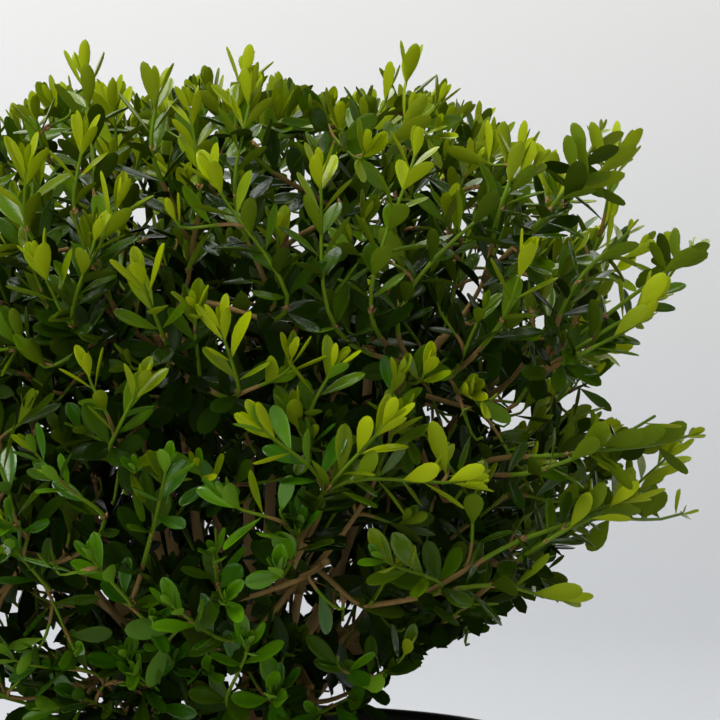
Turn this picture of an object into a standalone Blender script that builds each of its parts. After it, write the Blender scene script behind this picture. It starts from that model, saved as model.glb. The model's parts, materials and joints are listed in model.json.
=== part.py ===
"""Box ball in a nursery pot: a young potted box shrub, clipped to a ball and grown out a little since.

Lengths are metres. The origin is the centre of the pot's flat underside, +Z is up and the front faces -Y.
One short trunk stands on the compost. Boughs fork from it and from each other, and each carries one mass
of foliage. All masses open like a fan from one point low in the plant: a mass owns the cone of directions
nearest to its own axis, so that no two masses can meet.
"""

import math
import random

import bmesh
import bpy
from mathutils import Matrix, Vector
from mathutils.bvhtree import BVHTree

# ---------------------------------------------------------------- sizes

GAP = 0.0003  # between any two pieces that rest on each other

POT_HEIGHT = 0.200
POT_RIM_RADIUS = 0.120
POT_BAND_DEPTH = 0.014  # the stiff band under the rim
POT_BAND_STEP = 0.0035  # how far that band stands out from the wall
POT_FOOT_RADIUS = 0.089
POT_FOOT_CHAMFER = 0.002
POT_WALL = 0.0018
POT_BASE = 0.0025
POT_SIDES = 36
DRAIN_HOLES = 8
DRAIN_RADIUS = 0.0055
DRAIN_SIDES = 8
DRAIN_CIRCLE = 0.070

COMPOST_TOP = 0.184
COMPOST_FLAT = 0.030  # radius of the level patch round the trunk
COMPOST_FALL = 0.003  # how much lower it lies at the wall

TRUNK_FOOT = COMPOST_TOP + GAP
TRUNK_RINGS = (  # height above the foot, radius, lean to +X
    (0.0000, 0.0135, 0.0000),
    (0.0040, 0.0115, 0.0000),
    (0.0120, 0.0102, 0.0006),
    (0.0210, 0.0100, 0.0014),
    (0.0275, 0.0088, 0.0018),
)
TRUNK_LEAN_Y = -0.5  # of the lean to +X

FAN = Vector((0.0, 0.0, 0.235))  # every mass opens from here
CROWN_CENTRE = 0.352
CROWN_HALF_WIDTH = 0.190
CROWN_HALF_HEIGHT = 0.142
CROWN_SQUARENESS = 2.6  # 2 is an ellipsoid
CROWN_WIDEST = 0.199  # no leaf tip lies further from the plant's axis
CROWN_FLOOR = 0.2085  # no leaf hangs lower, so that all clear the rim

RINGS = (  # name, places, masses, elevation and first azimuth of their axes from the fan point, degrees
    ("cap", 1, 1, 90.0, 0.0),
    ("upper", 5, 5, 67.0, 357.0),
    ("shoulder", 7, 7, 46.0, 0.0),
    ("waist", 7, 7, 20.0, 337.1),
    ("skirt", 6, 5, -3.0, 50.0),  # the last place is open: there the underside rises
)

# Each bough is a smooth curve from a foot on what carries it to a tip inside its mass.
# "lead" is the radius and height that it first heads for, in the vertical plane of its own mass.
BOUGHS = {  # ring: carrier, how far along the carrier, lead, foot radius, tip radius
    "cap": ("trunk", 0.80, (0.003, 0.275), 0.0032, 0.0019),
    "upper": ("trunk", 0.72, (0.045, 0.235), 0.0034, 0.0019),
    "shoulder": ("upper", 0.30, (0.050, 0.228), 0.0029, 0.0018),
    "waist": ("shoulder", 0.30, (0.066, 0.236), 0.0023, 0.0016),
    "skirt": ("trunk", 0.42, (0.036, 0.201), 0.0021, 0.0015),
}
FORK_SPACING = 0.08  # of the carrier's length, between two boughs on one side of it
BOUGH_TIP = 0.50  # of the way from the fan point to the outline
BOUGH_STEPS = 5

CLEFT = 0.09  # how much shorter the foliage is between two masses
CLEFT_WIDTH = 9.0  # degrees from the border where that begins
HOLLOWS = (  # azimuth, elevation, spread in degrees, share of the reach that is missing
    (358.0, 35.0, 13.0, 0.30),
    (338.0, -2.0, 30.0, 0.16),
    (128.0, 33.0, 10.0, 0.16),
    (243.0, 57.0, 9.0, 0.10),
)
SHOOT_HOLLOWS = (  # the same, for the shoots alone: the boughs there keep their length
    (325.0, -5.0, 19.0, 0.50),
    (355.0, -5.0, 19.0, 0.50),
    (25.0, -5.0, 19.0, 0.50),
    (0.0, 62.0, 8.0, 0.08),
)
SWELLS = (  # the same, with the share that the foliage reaches further
    (200.0, -4.0, 42.0, 0.16),
    (60.0, -4.0, 40.0, 0.12),
)
LEADERS = (  # azimuth, elevation and reach of shoots that stand out of the clipped outline
    (356.0, 52.5, 0.271),
    (359.0, 42.5, 0.266),
    (8.0, 25.5, 0.215),
    (352.0, 15.5, 0.200),
    (349.0, 8.0, 0.146),
    (0.0, 76.0, 0.268),
    (186.0, 39.0, 0.262),
    (96.0, 47.0, 0.270),
    (222.0, 17.0, 0.205),
)

TARGETS = 194  # points spread evenly over a whole sphere of directions; about two thirds are used
TARGET_JITTER = 3.0  # degrees
LOWEST_TARGET = -9.0  # degrees of elevation
TARGET_PULL = 0.16  # of the angle to its mass's axis, by which each target leaves the border
LEADER_SPACING = 8.0  # degrees round a leader that no other target takes
REACH_SPREAD = (0.93, 1.02)  # how far each shoot gets towards the outline

STEM_END = 0.72  # of the way to the outline, where a mass's own stem ends
STEM_STUB = 0.004  # its straight foot, square to the end of its bough
STEM_RADII = (0.0018, 0.0015)  # to the corners of the three-sided section
TWIG_RADII = (0.0015, 0.0012)
TWIG_STEPS = 2
STEM_STEPS = 4
SLIDE_BACK = 0.35  # a twig leaves its carrier this share of its own length below the nearest point
UPTURN = 0.35  # how far a twig's end turns up
SHORTEST_TWIG = 0.012

LEAF_LENGTH = (0.044, 0.050)  # about two and a half times life size, for a twentieth of the real number
LEAF_WIDTH = 0.50  # of the length
LEAF_THICKNESS = 0.028  # of the length
LEAF_WIDEST = 0.58  # of the length, from the root
LEAF_ROOT = 0.0005  # how far a leaf's root passes the twig's axis
LEAF_PAIRS = ((0.35, 55.0), (0.60, 50.0), (0.82, 42.0), (0.99, 27.0))  # place on the twig, degrees from it
LEAF_FACING = (0.9, 0.5)  # how far a blade's upper side turns outward, and up to the light
LEAF_OVERSHOOT = 1.02  # how far past its twig's reach a leaf may point
LEAF_TRIES = (  # size, and how far the leaf turns to point straight out, until it finds room
    (1.0, 0.0),
    (1.0, 0.35),
    (0.96, 0.55),
    (0.92, 0.75),
    (0.86, 0.9),
    (0.80, 1.0),
    (0.72, 1.0),
)
LEAF_CLEARANCE = (0.14, 1.6)  # a blade is tested from this share of its length, this many times as thick
CELL_MARGIN = 0.0005
LIMB_MARGIN = 0.0010
TWIG_TEST_SPACING = 0.002
BLADE_MARGIN = 0.0020  # more, because a blade is tested at points some way apart


# ---------------------------------------------------------------- scene and materials


def clear_scene():
    for item in list(bpy.data.objects):
        bpy.data.objects.remove(item, do_unlink=True)


def new_collection(name):
    collection = bpy.data.collections.new(name)
    bpy.context.scene.collection.children.link(collection)
    return collection


def new_material(name, colour, roughness):
    material = bpy.data.materials.new(name)
    material.use_nodes = True
    shader = material.node_tree.nodes["Principled BSDF"]
    shader.inputs["Base Color"].default_value = (*colour, 1.0)
    shader.inputs["Roughness"].default_value = roughness
    shader.inputs["Metallic"].default_value = 0.0
    return material


# ---------------------------------------------------------------- mesh helpers


def new_object(name, mesh, collection, material=None):
    item = bpy.data.objects.new(name, mesh)
    collection.objects.link(item)
    if material:
        mesh.materials.clear()
        mesh.materials.append(material)
    return item


def replace_with_meshes(guides):
    """Turn curve objects into mesh objects of the same names, with welded caps."""
    graph = bpy.context.evaluated_depsgraph_get()
    meshes = [bpy.data.meshes.new_from_object(guide.evaluated_get(graph)) for guide in guides]
    items = []
    for guide, mesh in zip(guides, meshes):
        form = bmesh.new()
        form.from_mesh(mesh)
        bmesh.ops.remove_doubles(form, verts=form.verts, dist=1e-7)
        bmesh.ops.recalc_face_normals(form, faces=form.faces)
        form.to_mesh(mesh)
        form.free()
        name, home = guide.name, guide.users_collection[0]
        bpy.data.objects.remove(guide)
        items.append(new_object(name, mesh, home))
    return items


def shells(form):
    """The connected groups of vertices of a bmesh, largest first."""
    left = set(form.verts)
    groups = []
    while left:
        seed = left.pop()
        group, edge = {seed}, [seed]
        while edge:
            for link in edge.pop().link_edges:
                for vert in link.verts:
                    if vert in left:
                        left.discard(vert)
                        group.add(vert)
                        edge.append(vert)
        groups.append(group)
    return sorted(groups, key=len, reverse=True)


def keep_main_shell(mesh):
    """Drop loose scraps and the walls of sealed hollows, which fills those; says whether it is closed."""
    form = bmesh.new()
    form.from_mesh(mesh)
    bmesh.ops.triangulate(form, faces=form.faces)
    closed = all(len(edge.link_faces) == 2 for edge in form.edges)
    for group in shells(form)[1:]:
        bmesh.ops.delete(form, geom=list(group), context="VERTS")
    form.to_mesh(mesh)
    form.free()
    return closed


def apply_boolean(item, operation, others, material):
    """Cut or join the item with one object or with a collection, and apply it.

    Where the result isn't closed, the item stays as it was and the answer is False."""
    boolean = item.modifiers.new("join", "BOOLEAN")
    boolean.operation = operation
    boolean.solver = "MANIFOLD"
    if isinstance(others, bpy.types.Collection):
        boolean.operand_type = "COLLECTION"
        boolean.collection = others
    else:
        boolean.object = others
    graph = bpy.context.evaluated_depsgraph_get()
    mesh = bpy.data.meshes.new_from_object(item.evaluated_get(graph))
    item.modifiers.remove(boolean)
    if not keep_main_shell(mesh):
        bpy.data.meshes.remove(mesh)
        return False
    mesh.materials.clear()
    mesh.materials.append(material)
    old = item.data
    item.data = mesh
    bpy.data.meshes.remove(old)
    return True


def tube_guide(name, points, radii, collection, sides=None, section=None):
    """A tapering tube as a curve: round with an even number of sides, or with a section of its own."""
    curve = bpy.data.curves.new(name, "CURVE")
    curve.dimensions = "3D"
    curve.use_fill_caps = True
    if section:
        curve.bevel_mode = "OBJECT"
        curve.bevel_object = section
    else:
        curve.bevel_depth = 1.0
        curve.bevel_resolution = (sides - 4) // 2
    spline = curve.splines.new("POLY")
    spline.points.add(len(points) - 1)
    for place, point, radius in zip(spline.points, points, radii):
        place.co = (*point, 1.0)
        place.radius = radius
    guide = bpy.data.objects.new(name, curve)
    collection.objects.link(guide)
    return guide


def triangle_section(collection):
    """The three-sided section of the twigs, with corners at radius 1."""
    outline = bpy.data.curves.new("twig_section", "CURVE")
    outline.dimensions = "2D"
    corners = outline.splines.new("POLY")
    corners.points.add(2)
    for corner, point in enumerate(corners.points):
        angle = math.tau * corner / 3
        point.co = (math.cos(angle), math.sin(angle), 0.0, 1.0)
    corners.use_cyclic_u = True
    section = bpy.data.objects.new("twig_section", outline)
    section.hide_render = True
    section.display_type = "WIRE"
    collection.objects.link(section)
    return section


def turned(name, profile, sides, collection, material):
    """A body of revolution; the profile runs up inside and down outside, from axis to axis."""
    mesh = bpy.data.meshes.new(name)
    edges = [(at, at + 1) for at in range(len(profile) - 1)]
    mesh.from_pydata([(radius, 0.0, height) for radius, height in profile], edges, [])
    item = new_object(name, mesh, collection, material)
    screw = item.modifiers.new("turn", "SCREW")
    screw.steps = sides
    screw.render_steps = sides
    screw.use_merge_vertices = True
    screw.merge_threshold = 0.00001
    return item


# ---------------------------------------------------------------- pot and compost


def pot_inner_radius(height):
    """Radius of the inside of the pot's sloping wall."""
    top = POT_HEIGHT - POT_BAND_DEPTH
    slope = (POT_RIM_RADIUS - POT_BAND_STEP - POT_FOOT_RADIUS) / top
    return POT_FOOT_RADIUS - POT_WALL + slope * height


def make_pot(collection, cutters, material):
    band = POT_HEIGHT - POT_BAND_DEPTH
    profile = (
        (0.0, POT_BASE),
        (pot_inner_radius(POT_BASE), POT_BASE),
        (pot_inner_radius(band), band + POT_WALL),
        (POT_RIM_RADIUS - POT_WALL, band + POT_WALL),
        (POT_RIM_RADIUS - POT_WALL, POT_HEIGHT),
        (POT_RIM_RADIUS, POT_HEIGHT),
        (POT_RIM_RADIUS, band),
        (POT_RIM_RADIUS - POT_BAND_STEP, band),
        (POT_FOOT_RADIUS, POT_FOOT_CHAMFER),
        (POT_FOOT_RADIUS - POT_FOOT_CHAMFER, 0.0),
        (0.0, 0.0),
    )
    pot = turned("pot", profile, POT_SIDES, collection, material)
    for hole in range(DRAIN_HOLES):
        angle = math.tau * (hole + 0.5) / DRAIN_HOLES
        bpy.ops.mesh.primitive_cylinder_add(
            vertices=DRAIN_SIDES,
            radius=DRAIN_RADIUS,
            depth=4 * POT_BASE,
            location=(DRAIN_CIRCLE * math.cos(angle), DRAIN_CIRCLE * math.sin(angle), 0.0),
        )
        cutter = bpy.context.active_object
        cutter.name = f"drain_cutter_{hole + 1}"
        cutter.hide_render = True
        cutter.display_type = "WIRE"
        for home in list(cutter.users_collection):
            home.objects.unlink(cutter)
        cutters.objects.link(cutter)
    drain = pot.modifiers.new("drain", "BOOLEAN")
    drain.operation = "DIFFERENCE"
    drain.operand_type = "COLLECTION"
    drain.collection = cutters


def make_compost(collection, material):
    bottom = POT_BASE + GAP
    edge = COMPOST_TOP - COMPOST_FALL
    side_gap = GAP / math.cos(math.pi / POT_SIDES)
    profile = (
        (0.0, COMPOST_TOP),
        (COMPOST_FLAT, COMPOST_TOP),
        (pot_inner_radius(edge) - side_gap, edge),
        (pot_inner_radius(bottom) - side_gap, bottom),
        (0.0, bottom),
    )
    turned("compost", profile, POT_SIDES, collection, material)


# ---------------------------------------------------------------- the crown's outline


def aim(azimuth, elevation):
    """Unit vector from azimuth and elevation in degrees."""
    turn, rise = math.radians(azimuth), math.radians(elevation)
    return Vector((math.cos(rise) * math.cos(turn), math.cos(rise) * math.sin(turn), math.sin(rise)))


def outline_distance(direction):
    """Distance from the fan point to the clipped outline, by halving the interval."""
    near, far = 0.0, 0.5
    for _ in range(22):
        middle = (near + far) / 2
        point = FAN + direction * middle
        wide = math.hypot(point.x, point.y) / CROWN_HALF_WIDTH
        high = abs(point.z - CROWN_CENTRE) / CROWN_HALF_HEIGHT
        if wide**CROWN_SQUARENESS + high**CROWN_SQUARENESS < 1.0:
            near = middle
        else:
            far = middle
    return near


def bump(direction, azimuth, elevation, spread):
    """1 in the middle of a hollow or swell, fading to 0 at about twice its spread."""
    angle = math.degrees(direction.angle(aim(azimuth, elevation)))
    return math.exp(-((angle / spread) ** 2))


def reach(direction):
    """How far from the fan point the foliage gets in a direction."""
    distance = outline_distance(direction)
    angles = sorted(math.degrees(direction.angle(mass["axis"])) for mass in MASSES)
    border = (angles[1] - angles[0]) / 2
    if border < CLEFT_WIDTH:
        distance *= 1.0 - CLEFT * (1.0 - border / CLEFT_WIDTH)
    for azimuth, elevation, spread, share in HOLLOWS:
        distance *= 1.0 - share * bump(direction, azimuth, elevation, spread)
    for azimuth, elevation, spread, share in SWELLS:
        distance *= 1.0 + share * bump(direction, azimuth, elevation, spread)
    return distance


def shoot_reach(direction):
    """The same for the shoots, which have hollows of their own."""
    distance = reach(direction)
    for azimuth, elevation, spread, share in SHOOT_HOLLOWS:
        distance *= 1.0 - share * bump(direction, azimuth, elevation, spread)
    return distance


def list_masses():
    masses = []
    for ring, places, count, elevation, first in RINGS:
        for place in range(count):
            azimuth = (first + 360.0 * place / places) % 360.0
            name = ring if count == 1 else f"{ring}_{place + 1}"
            masses.append({"name": name, "ring": ring, "azimuth": azimuth, "axis": aim(azimuth, elevation)})
    return masses


MASSES = list_masses()


def inside_cell(mass, points, margin):
    """Whether the points lie in the mass's own cone, clear of its borders."""
    for other in MASSES:
        if other is mass:
            continue
        across = (mass["axis"] - other["axis"]).normalized()
        if min((point - FAN).dot(across) for point in points) < margin:
            return False
    return min(point.z for point in points) > CROWN_FLOOR


# ---------------------------------------------------------------- trunk and boughs


def smooth_curve(start, lead, arrive, end, steps):
    """Points of a cubic Bezier curve."""
    points = []
    for step in range(steps + 1):
        t = step / steps
        s = 1.0 - t
        points.append(start * s**3 + lead * (3 * s * s * t) + arrive * (3 * s * t * t) + end * t**3)
    return points


def taper(first, last, count):
    return [first + (last - first) * at / (count - 1) for at in range(count)]


def point_along(limb, share):
    """Point at a share of the limb's list of points."""
    place = share * (len(limb["points"]) - 1)
    at = min(int(place), len(limb["points"]) - 2)
    return limb["points"][at].lerp(limb["points"][at + 1], place - at)


def trunk_limb():
    points = [Vector((lean, lean * TRUNK_LEAN_Y, TRUNK_FOOT + height)) for height, _, lean in TRUNK_RINGS]
    return {"name": "trunk", "points": points, "radii": [radius for _, radius, _ in TRUNK_RINGS], "sides": 12}


def bough_limb(mass, limbs):
    """The bough that carries a mass, with the name of the limb that carries it."""
    ring, share, lead, foot_radius, tip_radius = BOUGHS[mass["ring"]]
    if ring == "trunk":
        carrier = limbs["trunk"]
    else:
        carriers = [other for other in MASSES if other["ring"] == ring]
        nearest = max(carriers, key=lambda other: math.cos(math.radians(other["azimuth"] - mass["azimuth"])))
        carrier = limbs["bough_" + nearest["name"]]
        share += FORK_SPACING * sum(limb.get("carrier") == carrier["name"] for limb in limbs.values())
    start = point_along(carrier, share)
    turn = math.radians(mass["azimuth"])
    heading = Vector((lead[0] * math.cos(turn), lead[0] * math.sin(turn), lead[1]))
    end = FAN + mass["axis"] * (BOUGH_TIP * reach(mass["axis"]))
    lead_point = start.lerp(heading, 0.67)
    arrive = end.lerp(heading, 0.67)
    return {
        "name": "bough_" + mass["name"],
        "points": smooth_curve(start, lead_point, arrive, end, BOUGH_STEPS),
        "radii": taper(foot_radius, tip_radius, BOUGH_STEPS + 1),
        "sides": 6,
        "carrier": carrier["name"],
    }


def list_limbs():
    limbs = {"trunk": trunk_limb()}
    for ring in ("cap", "upper", "shoulder", "waist", "skirt"):
        for mass in MASSES:
            if mass["ring"] == ring:
                limb = bough_limb(mass, limbs)
                limbs[limb["name"]] = limb
    return limbs


def make_limbs(limbs, collection, cutters, material):
    """The trunk, and each bough with its foot cut to sit on its carrier."""
    guides = []
    for limb in limbs.values():
        guides.append(tube_guide(limb["name"], limb["points"], limb["radii"], collection, limb["sides"]))
        grown = GAP / math.cos(math.pi / limb["sides"])
        radii = [radius + grown for radius in limb["radii"]]
        points = list(limb["points"])
        points[-1] = points[-1] + (points[-1] - points[-2]).normalized() * GAP
        guides.append(tube_guide(limb["name"] + "_cutter", points, radii, cutters, limb["sides"]))
    items = {item.name: item for item in replace_with_meshes(guides)}
    for limb in limbs.values():
        item = items[limb["name"]]
        item.data.materials.append(material)
        if "carrier" in limb:
            apply_boolean(item, "DIFFERENCE", items[limb["carrier"] + "_cutter"], material)
    for cutter in list(cutters.objects):
        bpy.data.objects.remove(cutter)


def clear_of_limbs(points, limbs, radius):
    """Whether the points keep their distance from every limb."""
    for limb in limbs.values():
        for at in range(len(limb["points"]) - 1):
            foot, tip = limb["points"][at], limb["points"][at + 1]
            run = tip - foot
            least = limb["radii"][at] + radius + LIMB_MARGIN
            for point in points:
                share = max(0.0, min(1.0, (point - foot).dot(run) / run.length_squared))
                if (point - foot - run * share).length < least:
                    return False
    return True


# ---------------------------------------------------------------- foliage


def list_targets():
    """Directions for the shoots, spread evenly by the golden angle, each with its reach."""
    rng = random.Random("targets")
    targets = []
    for azimuth, elevation, distance in LEADERS:
        targets.append((aim(azimuth, elevation), distance))
    leaders = [direction for direction, _ in targets]
    golden = math.pi * (3.0 - math.sqrt(5.0))
    for at in range(TARGETS):
        height = 1.0 - (2.0 * at + 1.0) / TARGETS
        azimuth = math.degrees(golden * at) + rng.uniform(-TARGET_JITTER, TARGET_JITTER)
        elevation = math.degrees(math.asin(height)) + rng.uniform(-TARGET_JITTER, TARGET_JITTER)
        share = rng.uniform(*REACH_SPREAD)
        direction = aim(azimuth, elevation)
        near_leader = min(math.degrees(direction.angle(leader)) for leader in leaders) < LEADER_SPACING
        if elevation > LOWEST_TARGET and not near_leader:
            targets.append((direction, shoot_reach(direction) * share))
    return targets


def own_targets(mass, targets):
    """The mass's targets, those nearest to its axis first, each drawn in a little from the border."""
    own = [t for t in targets if min(MASSES, key=lambda other: t[0].angle(other["axis"])) is mass]
    own.sort(key=lambda target: target[0].angle(mass["axis"]))
    return [(direction.slerp(mass["axis"], TARGET_PULL), distance) for direction, distance in own]


def add_branch(skeleton, points, carrier):
    """Add the points to the skeleton: each keeps its place, heading and the index before it."""
    before = carrier
    for at, point in enumerate(points):
        if at == 0 and carrier is not None:
            continue
        heading = (points[at] - points[at - 1]) if at else (points[1] - points[0])
        skeleton.append((point, heading.normalized(), before))
        before = len(skeleton) - 1


def leave_skeleton(skeleton, goal):
    """Index of the point where a twig to the goal leaves: the nearest one, slid back to the foot.

    The stem's first point stays free, so that nothing reaches back over its foot."""
    at = min(range(1, len(skeleton)), key=lambda index: (skeleton[index][0] - goal).length)
    slide = SLIDE_BACK * (skeleton[at][0] - goal).length
    while slide > 0.0 and skeleton[at][2] != 0:
        before = skeleton[at][2]
        slide -= (skeleton[at][0] - skeleton[before][0]).length
        at = before
    return at


def stem_points(mass, bough):
    """The mass's own stem, from just off its bough's tip."""
    tip, below = bough["points"][-1], bough["points"][-2]
    heading = (tip - below).normalized()
    foot = tip + heading * GAP
    start = foot + heading * STEM_STUB
    end = FAN + mass["axis"] * (STEM_END * reach(mass["axis"]))
    third = (end - start).length / 3
    curve = smooth_curve(start, start + heading * third, end - mass["axis"] * third, end, STEM_STEPS)
    return [foot, *curve]


def points_between(points, spacing):
    """Evenly spaced points on a twig's straight runs, past its first one."""
    between = []
    for at in range(len(points) - 1):
        run = points[at + 1] - points[at]
        count = math.ceil(run.length / spacing)
        between += [points[at] + run * (step / count) for step in range(1, count + 1)]
    return between


def twig_points(skeleton, target):
    """A twig's points, and the index of the skeleton point that it leaves from."""
    direction, distance = target
    end_heading = (direction + Vector((0.0, 0.0, UPTURN))).normalized()
    leaf_run = sum(LEAF_LENGTH) / 2 * math.cos(math.radians(LEAF_PAIRS[-1][1]))
    goal = FAN + direction * distance - end_heading * leaf_run
    at = leave_skeleton(skeleton, goal)
    start, heading, _ = skeleton[at]
    third = (goal - start).length / 3
    if third * 3 < SHORTEST_TWIG:
        return None, at
    return smooth_curve(start, start + heading * third, goal - end_heading * third, goal, TWIG_STEPS), at


def leaf_frame(root, heading, angle, roll, lean):
    """Matrix whose X runs along the blade and whose Z is the blade's upper side."""
    side = heading.orthogonal().normalized()
    side.rotate(Matrix.Rotation(roll, 3, heading))
    along = heading * math.cos(angle) + side * math.sin(angle)
    along = along.lerp((root - FAN).normalized(), lean).normalized()
    upper = heading * math.sin(angle) - side * math.cos(angle)
    outward, upward = LEAF_FACING
    upper = upper + (root - FAN).normalized() * outward + Vector((0.0, 0.0, upward))
    upper = (upper - along * upper.dot(along)).normalized()
    across = upper.cross(along)
    frame = Matrix((along, across, upper)).transposed().to_4x4()
    frame.translation = root - along * LEAF_ROOT
    return frame


def leaf_form(frame, length, root=0.0, swelling=1.0):
    """A leaf as a bmesh: a low four-sided pyramid, flat below, domed above and widest past its middle."""
    form = bmesh.new()
    bmesh.ops.create_cone(form, cap_ends=True, segments=4, radius1=1.0, radius2=0.0, depth=1.0)
    for vert in form.verts:
        at_side = abs(vert.co.x) < 0.5
        along = LEAF_WIDEST if at_side else (root if vert.co.x < 0.0 else 1.0)
        height = (vert.co.z + 0.5) * LEAF_THICKNESS * swelling
        vert.co = frame @ (Vector((along, vert.co.y * LEAF_WIDTH / 2, height)) * length)
    return form


def crosses(tree, trees):
    return any(tree.overlap(other) for other in trees)


def tube_tree(points, radius):
    """A search tree of a three-sided tube along the points."""
    corners, faces = [], []
    heading = (points[-1] - points[0]).normalized()
    side = heading.orthogonal().normalized() * radius
    for at, point in enumerate(points):
        for corner in range(3):
            turned_side = Matrix.Rotation(math.tau * corner / 3, 3, heading) @ side
            corners.append(point + turned_side)
        if at:
            low = 3 * (at - 1)
            for corner in range(3):
                after = (corner + 1) % 3
                faces.append((low + corner, low + after, low + 3 + after, low + 3 + corner))
    return BVHTree.FromPolygons(corners, faces)


def blade_samples(frame, length):
    """Points spread over a blade, for testing its clearance."""
    samples = []
    for along in (0.1, 0.2, 0.35, LEAF_WIDEST, 0.8, 1.0):
        half = LEAF_WIDTH / 2 * min(along / LEAF_WIDEST, (1.0 - along) / (1.0 - LEAF_WIDEST))
        for across in (-half, 0.0, half):
            samples.append(frame @ (Vector((along, across, 0.0)) * length))
    return samples


def add_leaf(mass, frame, length, furthest, limbs, taken, bundle):
    """One leaf, or None if it would leave its mass's cone, reach out too far or cross anything."""
    form = leaf_form(frame, length)
    corners = [vert.co for vert in form.verts]
    tip = frame @ Vector((length, 0.0, 0.0)) - FAN
    clear = tip.length < LEAF_OVERSHOOT * max(furthest, shoot_reach(tip.normalized()))
    clear = clear and math.hypot(tip.x, tip.y) < CROWN_WIDEST and inside_cell(mass, corners, CELL_MARGIN)
    clear = clear and clear_of_limbs(blade_samples(frame, length), limbs, BLADE_MARGIN)
    if clear:
        root, swelling = LEAF_CLEARANCE
        blade = leaf_form(frame, length, root, swelling)
        tree = BVHTree.FromBMesh(blade)
        blade.free()
        clear = not crosses(tree, taken)
    leaf = None
    if clear:
        mesh = bpy.data.meshes.new("leaf")
        form.to_mesh(mesh)
        leaf = new_object("leaf", mesh, bundle)
        taken.append(tree)
    form.free()
    return leaf


def add_leaves(mass, points, key, furthest, limbs, taken, bundle):
    """Opposite pairs of leaves on a twig, each pair crossing the one before."""
    leaves = []
    rng = random.Random(f"{mass['name']}-{key}")
    first_roll = rng.uniform(0.0, math.pi)
    for pair, (share, spread) in enumerate(LEAF_PAIRS):
        place = share * (len(points) - 1)
        at = min(int(place), len(points) - 2)
        root = points[at].lerp(points[at + 1], place - at)
        heading = (points[at + 1] - points[at]).normalized()
        for half in range(2):
            length = rng.uniform(*LEAF_LENGTH)
            for size, lean in LEAF_TRIES:
                roll = first_roll + math.pi / 2 * pair + math.pi * half + rng.uniform(-0.5, 0.5)
                angle = math.radians(spread + rng.uniform(-8.0, 8.0))
                frame = leaf_frame(root, heading, angle, roll, lean)
                leaf = add_leaf(mass, frame, length * size, furthest, limbs, taken, bundle)
                if leaf:
                    leaves.append(leaf)
                    break
    return leaves


def make_mass(mass, limbs, targets, section, collection, material):
    """One mass: a stem, twigs that fork from it towards the outline, and leaves fused to them."""
    bundle = new_collection("bundle")
    name = "foliage_" + mass["name"]
    points = stem_points(mass, limbs["bough_" + mass["name"]])
    stem = tube_guide(name, points, taper(*STEM_RADII, len(points)), collection, section=section)
    guides = [stem]
    skeleton = []
    add_branch(skeleton, points, None)
    taken = [tube_tree(points, STEM_RADII[0])]
    shoots = []
    for key, target in enumerate(own_targets(mass, targets)):
        points, carrier = twig_points(skeleton, target)
        if points is None:
            continue
        if not inside_cell(mass, points[1:], TWIG_RADII[0] + CELL_MARGIN):
            continue
        if not clear_of_limbs(points_between(points, TWIG_TEST_SPACING), limbs, TWIG_RADII[0]):
            continue
        guides.append(tube_guide("twig", points, taper(*TWIG_RADII, len(points)), bundle, section=section))
        add_branch(skeleton, points, carrier)
        taken.append(tube_tree(points, TWIG_RADII[0]))
        shoots.append((key, points, target[1]))
    leaves = []
    for key, points, distance in shoots:
        leaves += add_leaves(mass, points, key, distance, limbs, taken, bundle)
    item = replace_with_meshes(guides)[0]
    while not apply_boolean(item, "UNION", bundle, material):
        bpy.data.objects.remove(leaves.pop())
    for part in list(bundle.objects):
        bpy.data.objects.remove(part)
    bpy.data.collections.remove(bundle)


# ---------------------------------------------------------------- the whole plant


def main():
    clear_scene()
    plant = new_collection("box_ball")
    guides = new_collection("guides")
    make_pot(plant, new_collection("drain_cutters"), new_material("pot_plastic", (0.012, 0.012, 0.013), 0.45))
    make_compost(plant, new_material("compost", (0.030, 0.019, 0.012), 0.95))
    limbs = list_limbs()
    make_limbs(limbs, plant, guides, new_material("bark", (0.24, 0.15, 0.08), 0.85))
    targets = list_targets()
    foliage = new_material("box_leaf", (0.085, 0.19, 0.022), 0.4)
    section = triangle_section(guides)
    for mass in MASSES:
        make_mass(mass, limbs, targets, section, plant, foliage)
    bpy.data.objects.remove(section)


main()
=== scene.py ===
"""Looks of the box ball in its nursery pot: foliage, bark, pot, compost, backdrop, light and camera.

The foliage grows on from the limbs by the same rule as the solids, to finer shoots. Metres, +Z up.
"""

import json
import math
import random
from itertools import pairwise

import bmesh
import bpy
import numpy as np
from mathutils import Matrix, Vector, noise

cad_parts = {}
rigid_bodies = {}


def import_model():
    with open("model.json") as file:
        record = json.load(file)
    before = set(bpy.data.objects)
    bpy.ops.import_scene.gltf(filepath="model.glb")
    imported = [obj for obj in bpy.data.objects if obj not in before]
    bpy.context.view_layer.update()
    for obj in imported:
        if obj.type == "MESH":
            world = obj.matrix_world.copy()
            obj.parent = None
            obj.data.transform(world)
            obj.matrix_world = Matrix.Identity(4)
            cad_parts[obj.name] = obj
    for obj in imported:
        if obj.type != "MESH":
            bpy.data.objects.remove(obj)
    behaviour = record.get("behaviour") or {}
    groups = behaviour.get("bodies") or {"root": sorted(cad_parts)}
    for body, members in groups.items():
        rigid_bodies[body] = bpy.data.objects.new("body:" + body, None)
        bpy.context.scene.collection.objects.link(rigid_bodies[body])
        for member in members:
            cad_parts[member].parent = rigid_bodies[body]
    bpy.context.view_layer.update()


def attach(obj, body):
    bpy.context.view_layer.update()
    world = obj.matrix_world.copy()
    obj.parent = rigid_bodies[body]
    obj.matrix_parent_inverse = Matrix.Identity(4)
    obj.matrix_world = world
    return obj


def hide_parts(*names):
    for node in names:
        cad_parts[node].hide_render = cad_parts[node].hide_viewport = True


for item in list(bpy.data.objects):
    bpy.data.objects.remove(item, do_unlink=True)
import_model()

# ---------------------------------------------------------------- the rule that the solids follow

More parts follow.
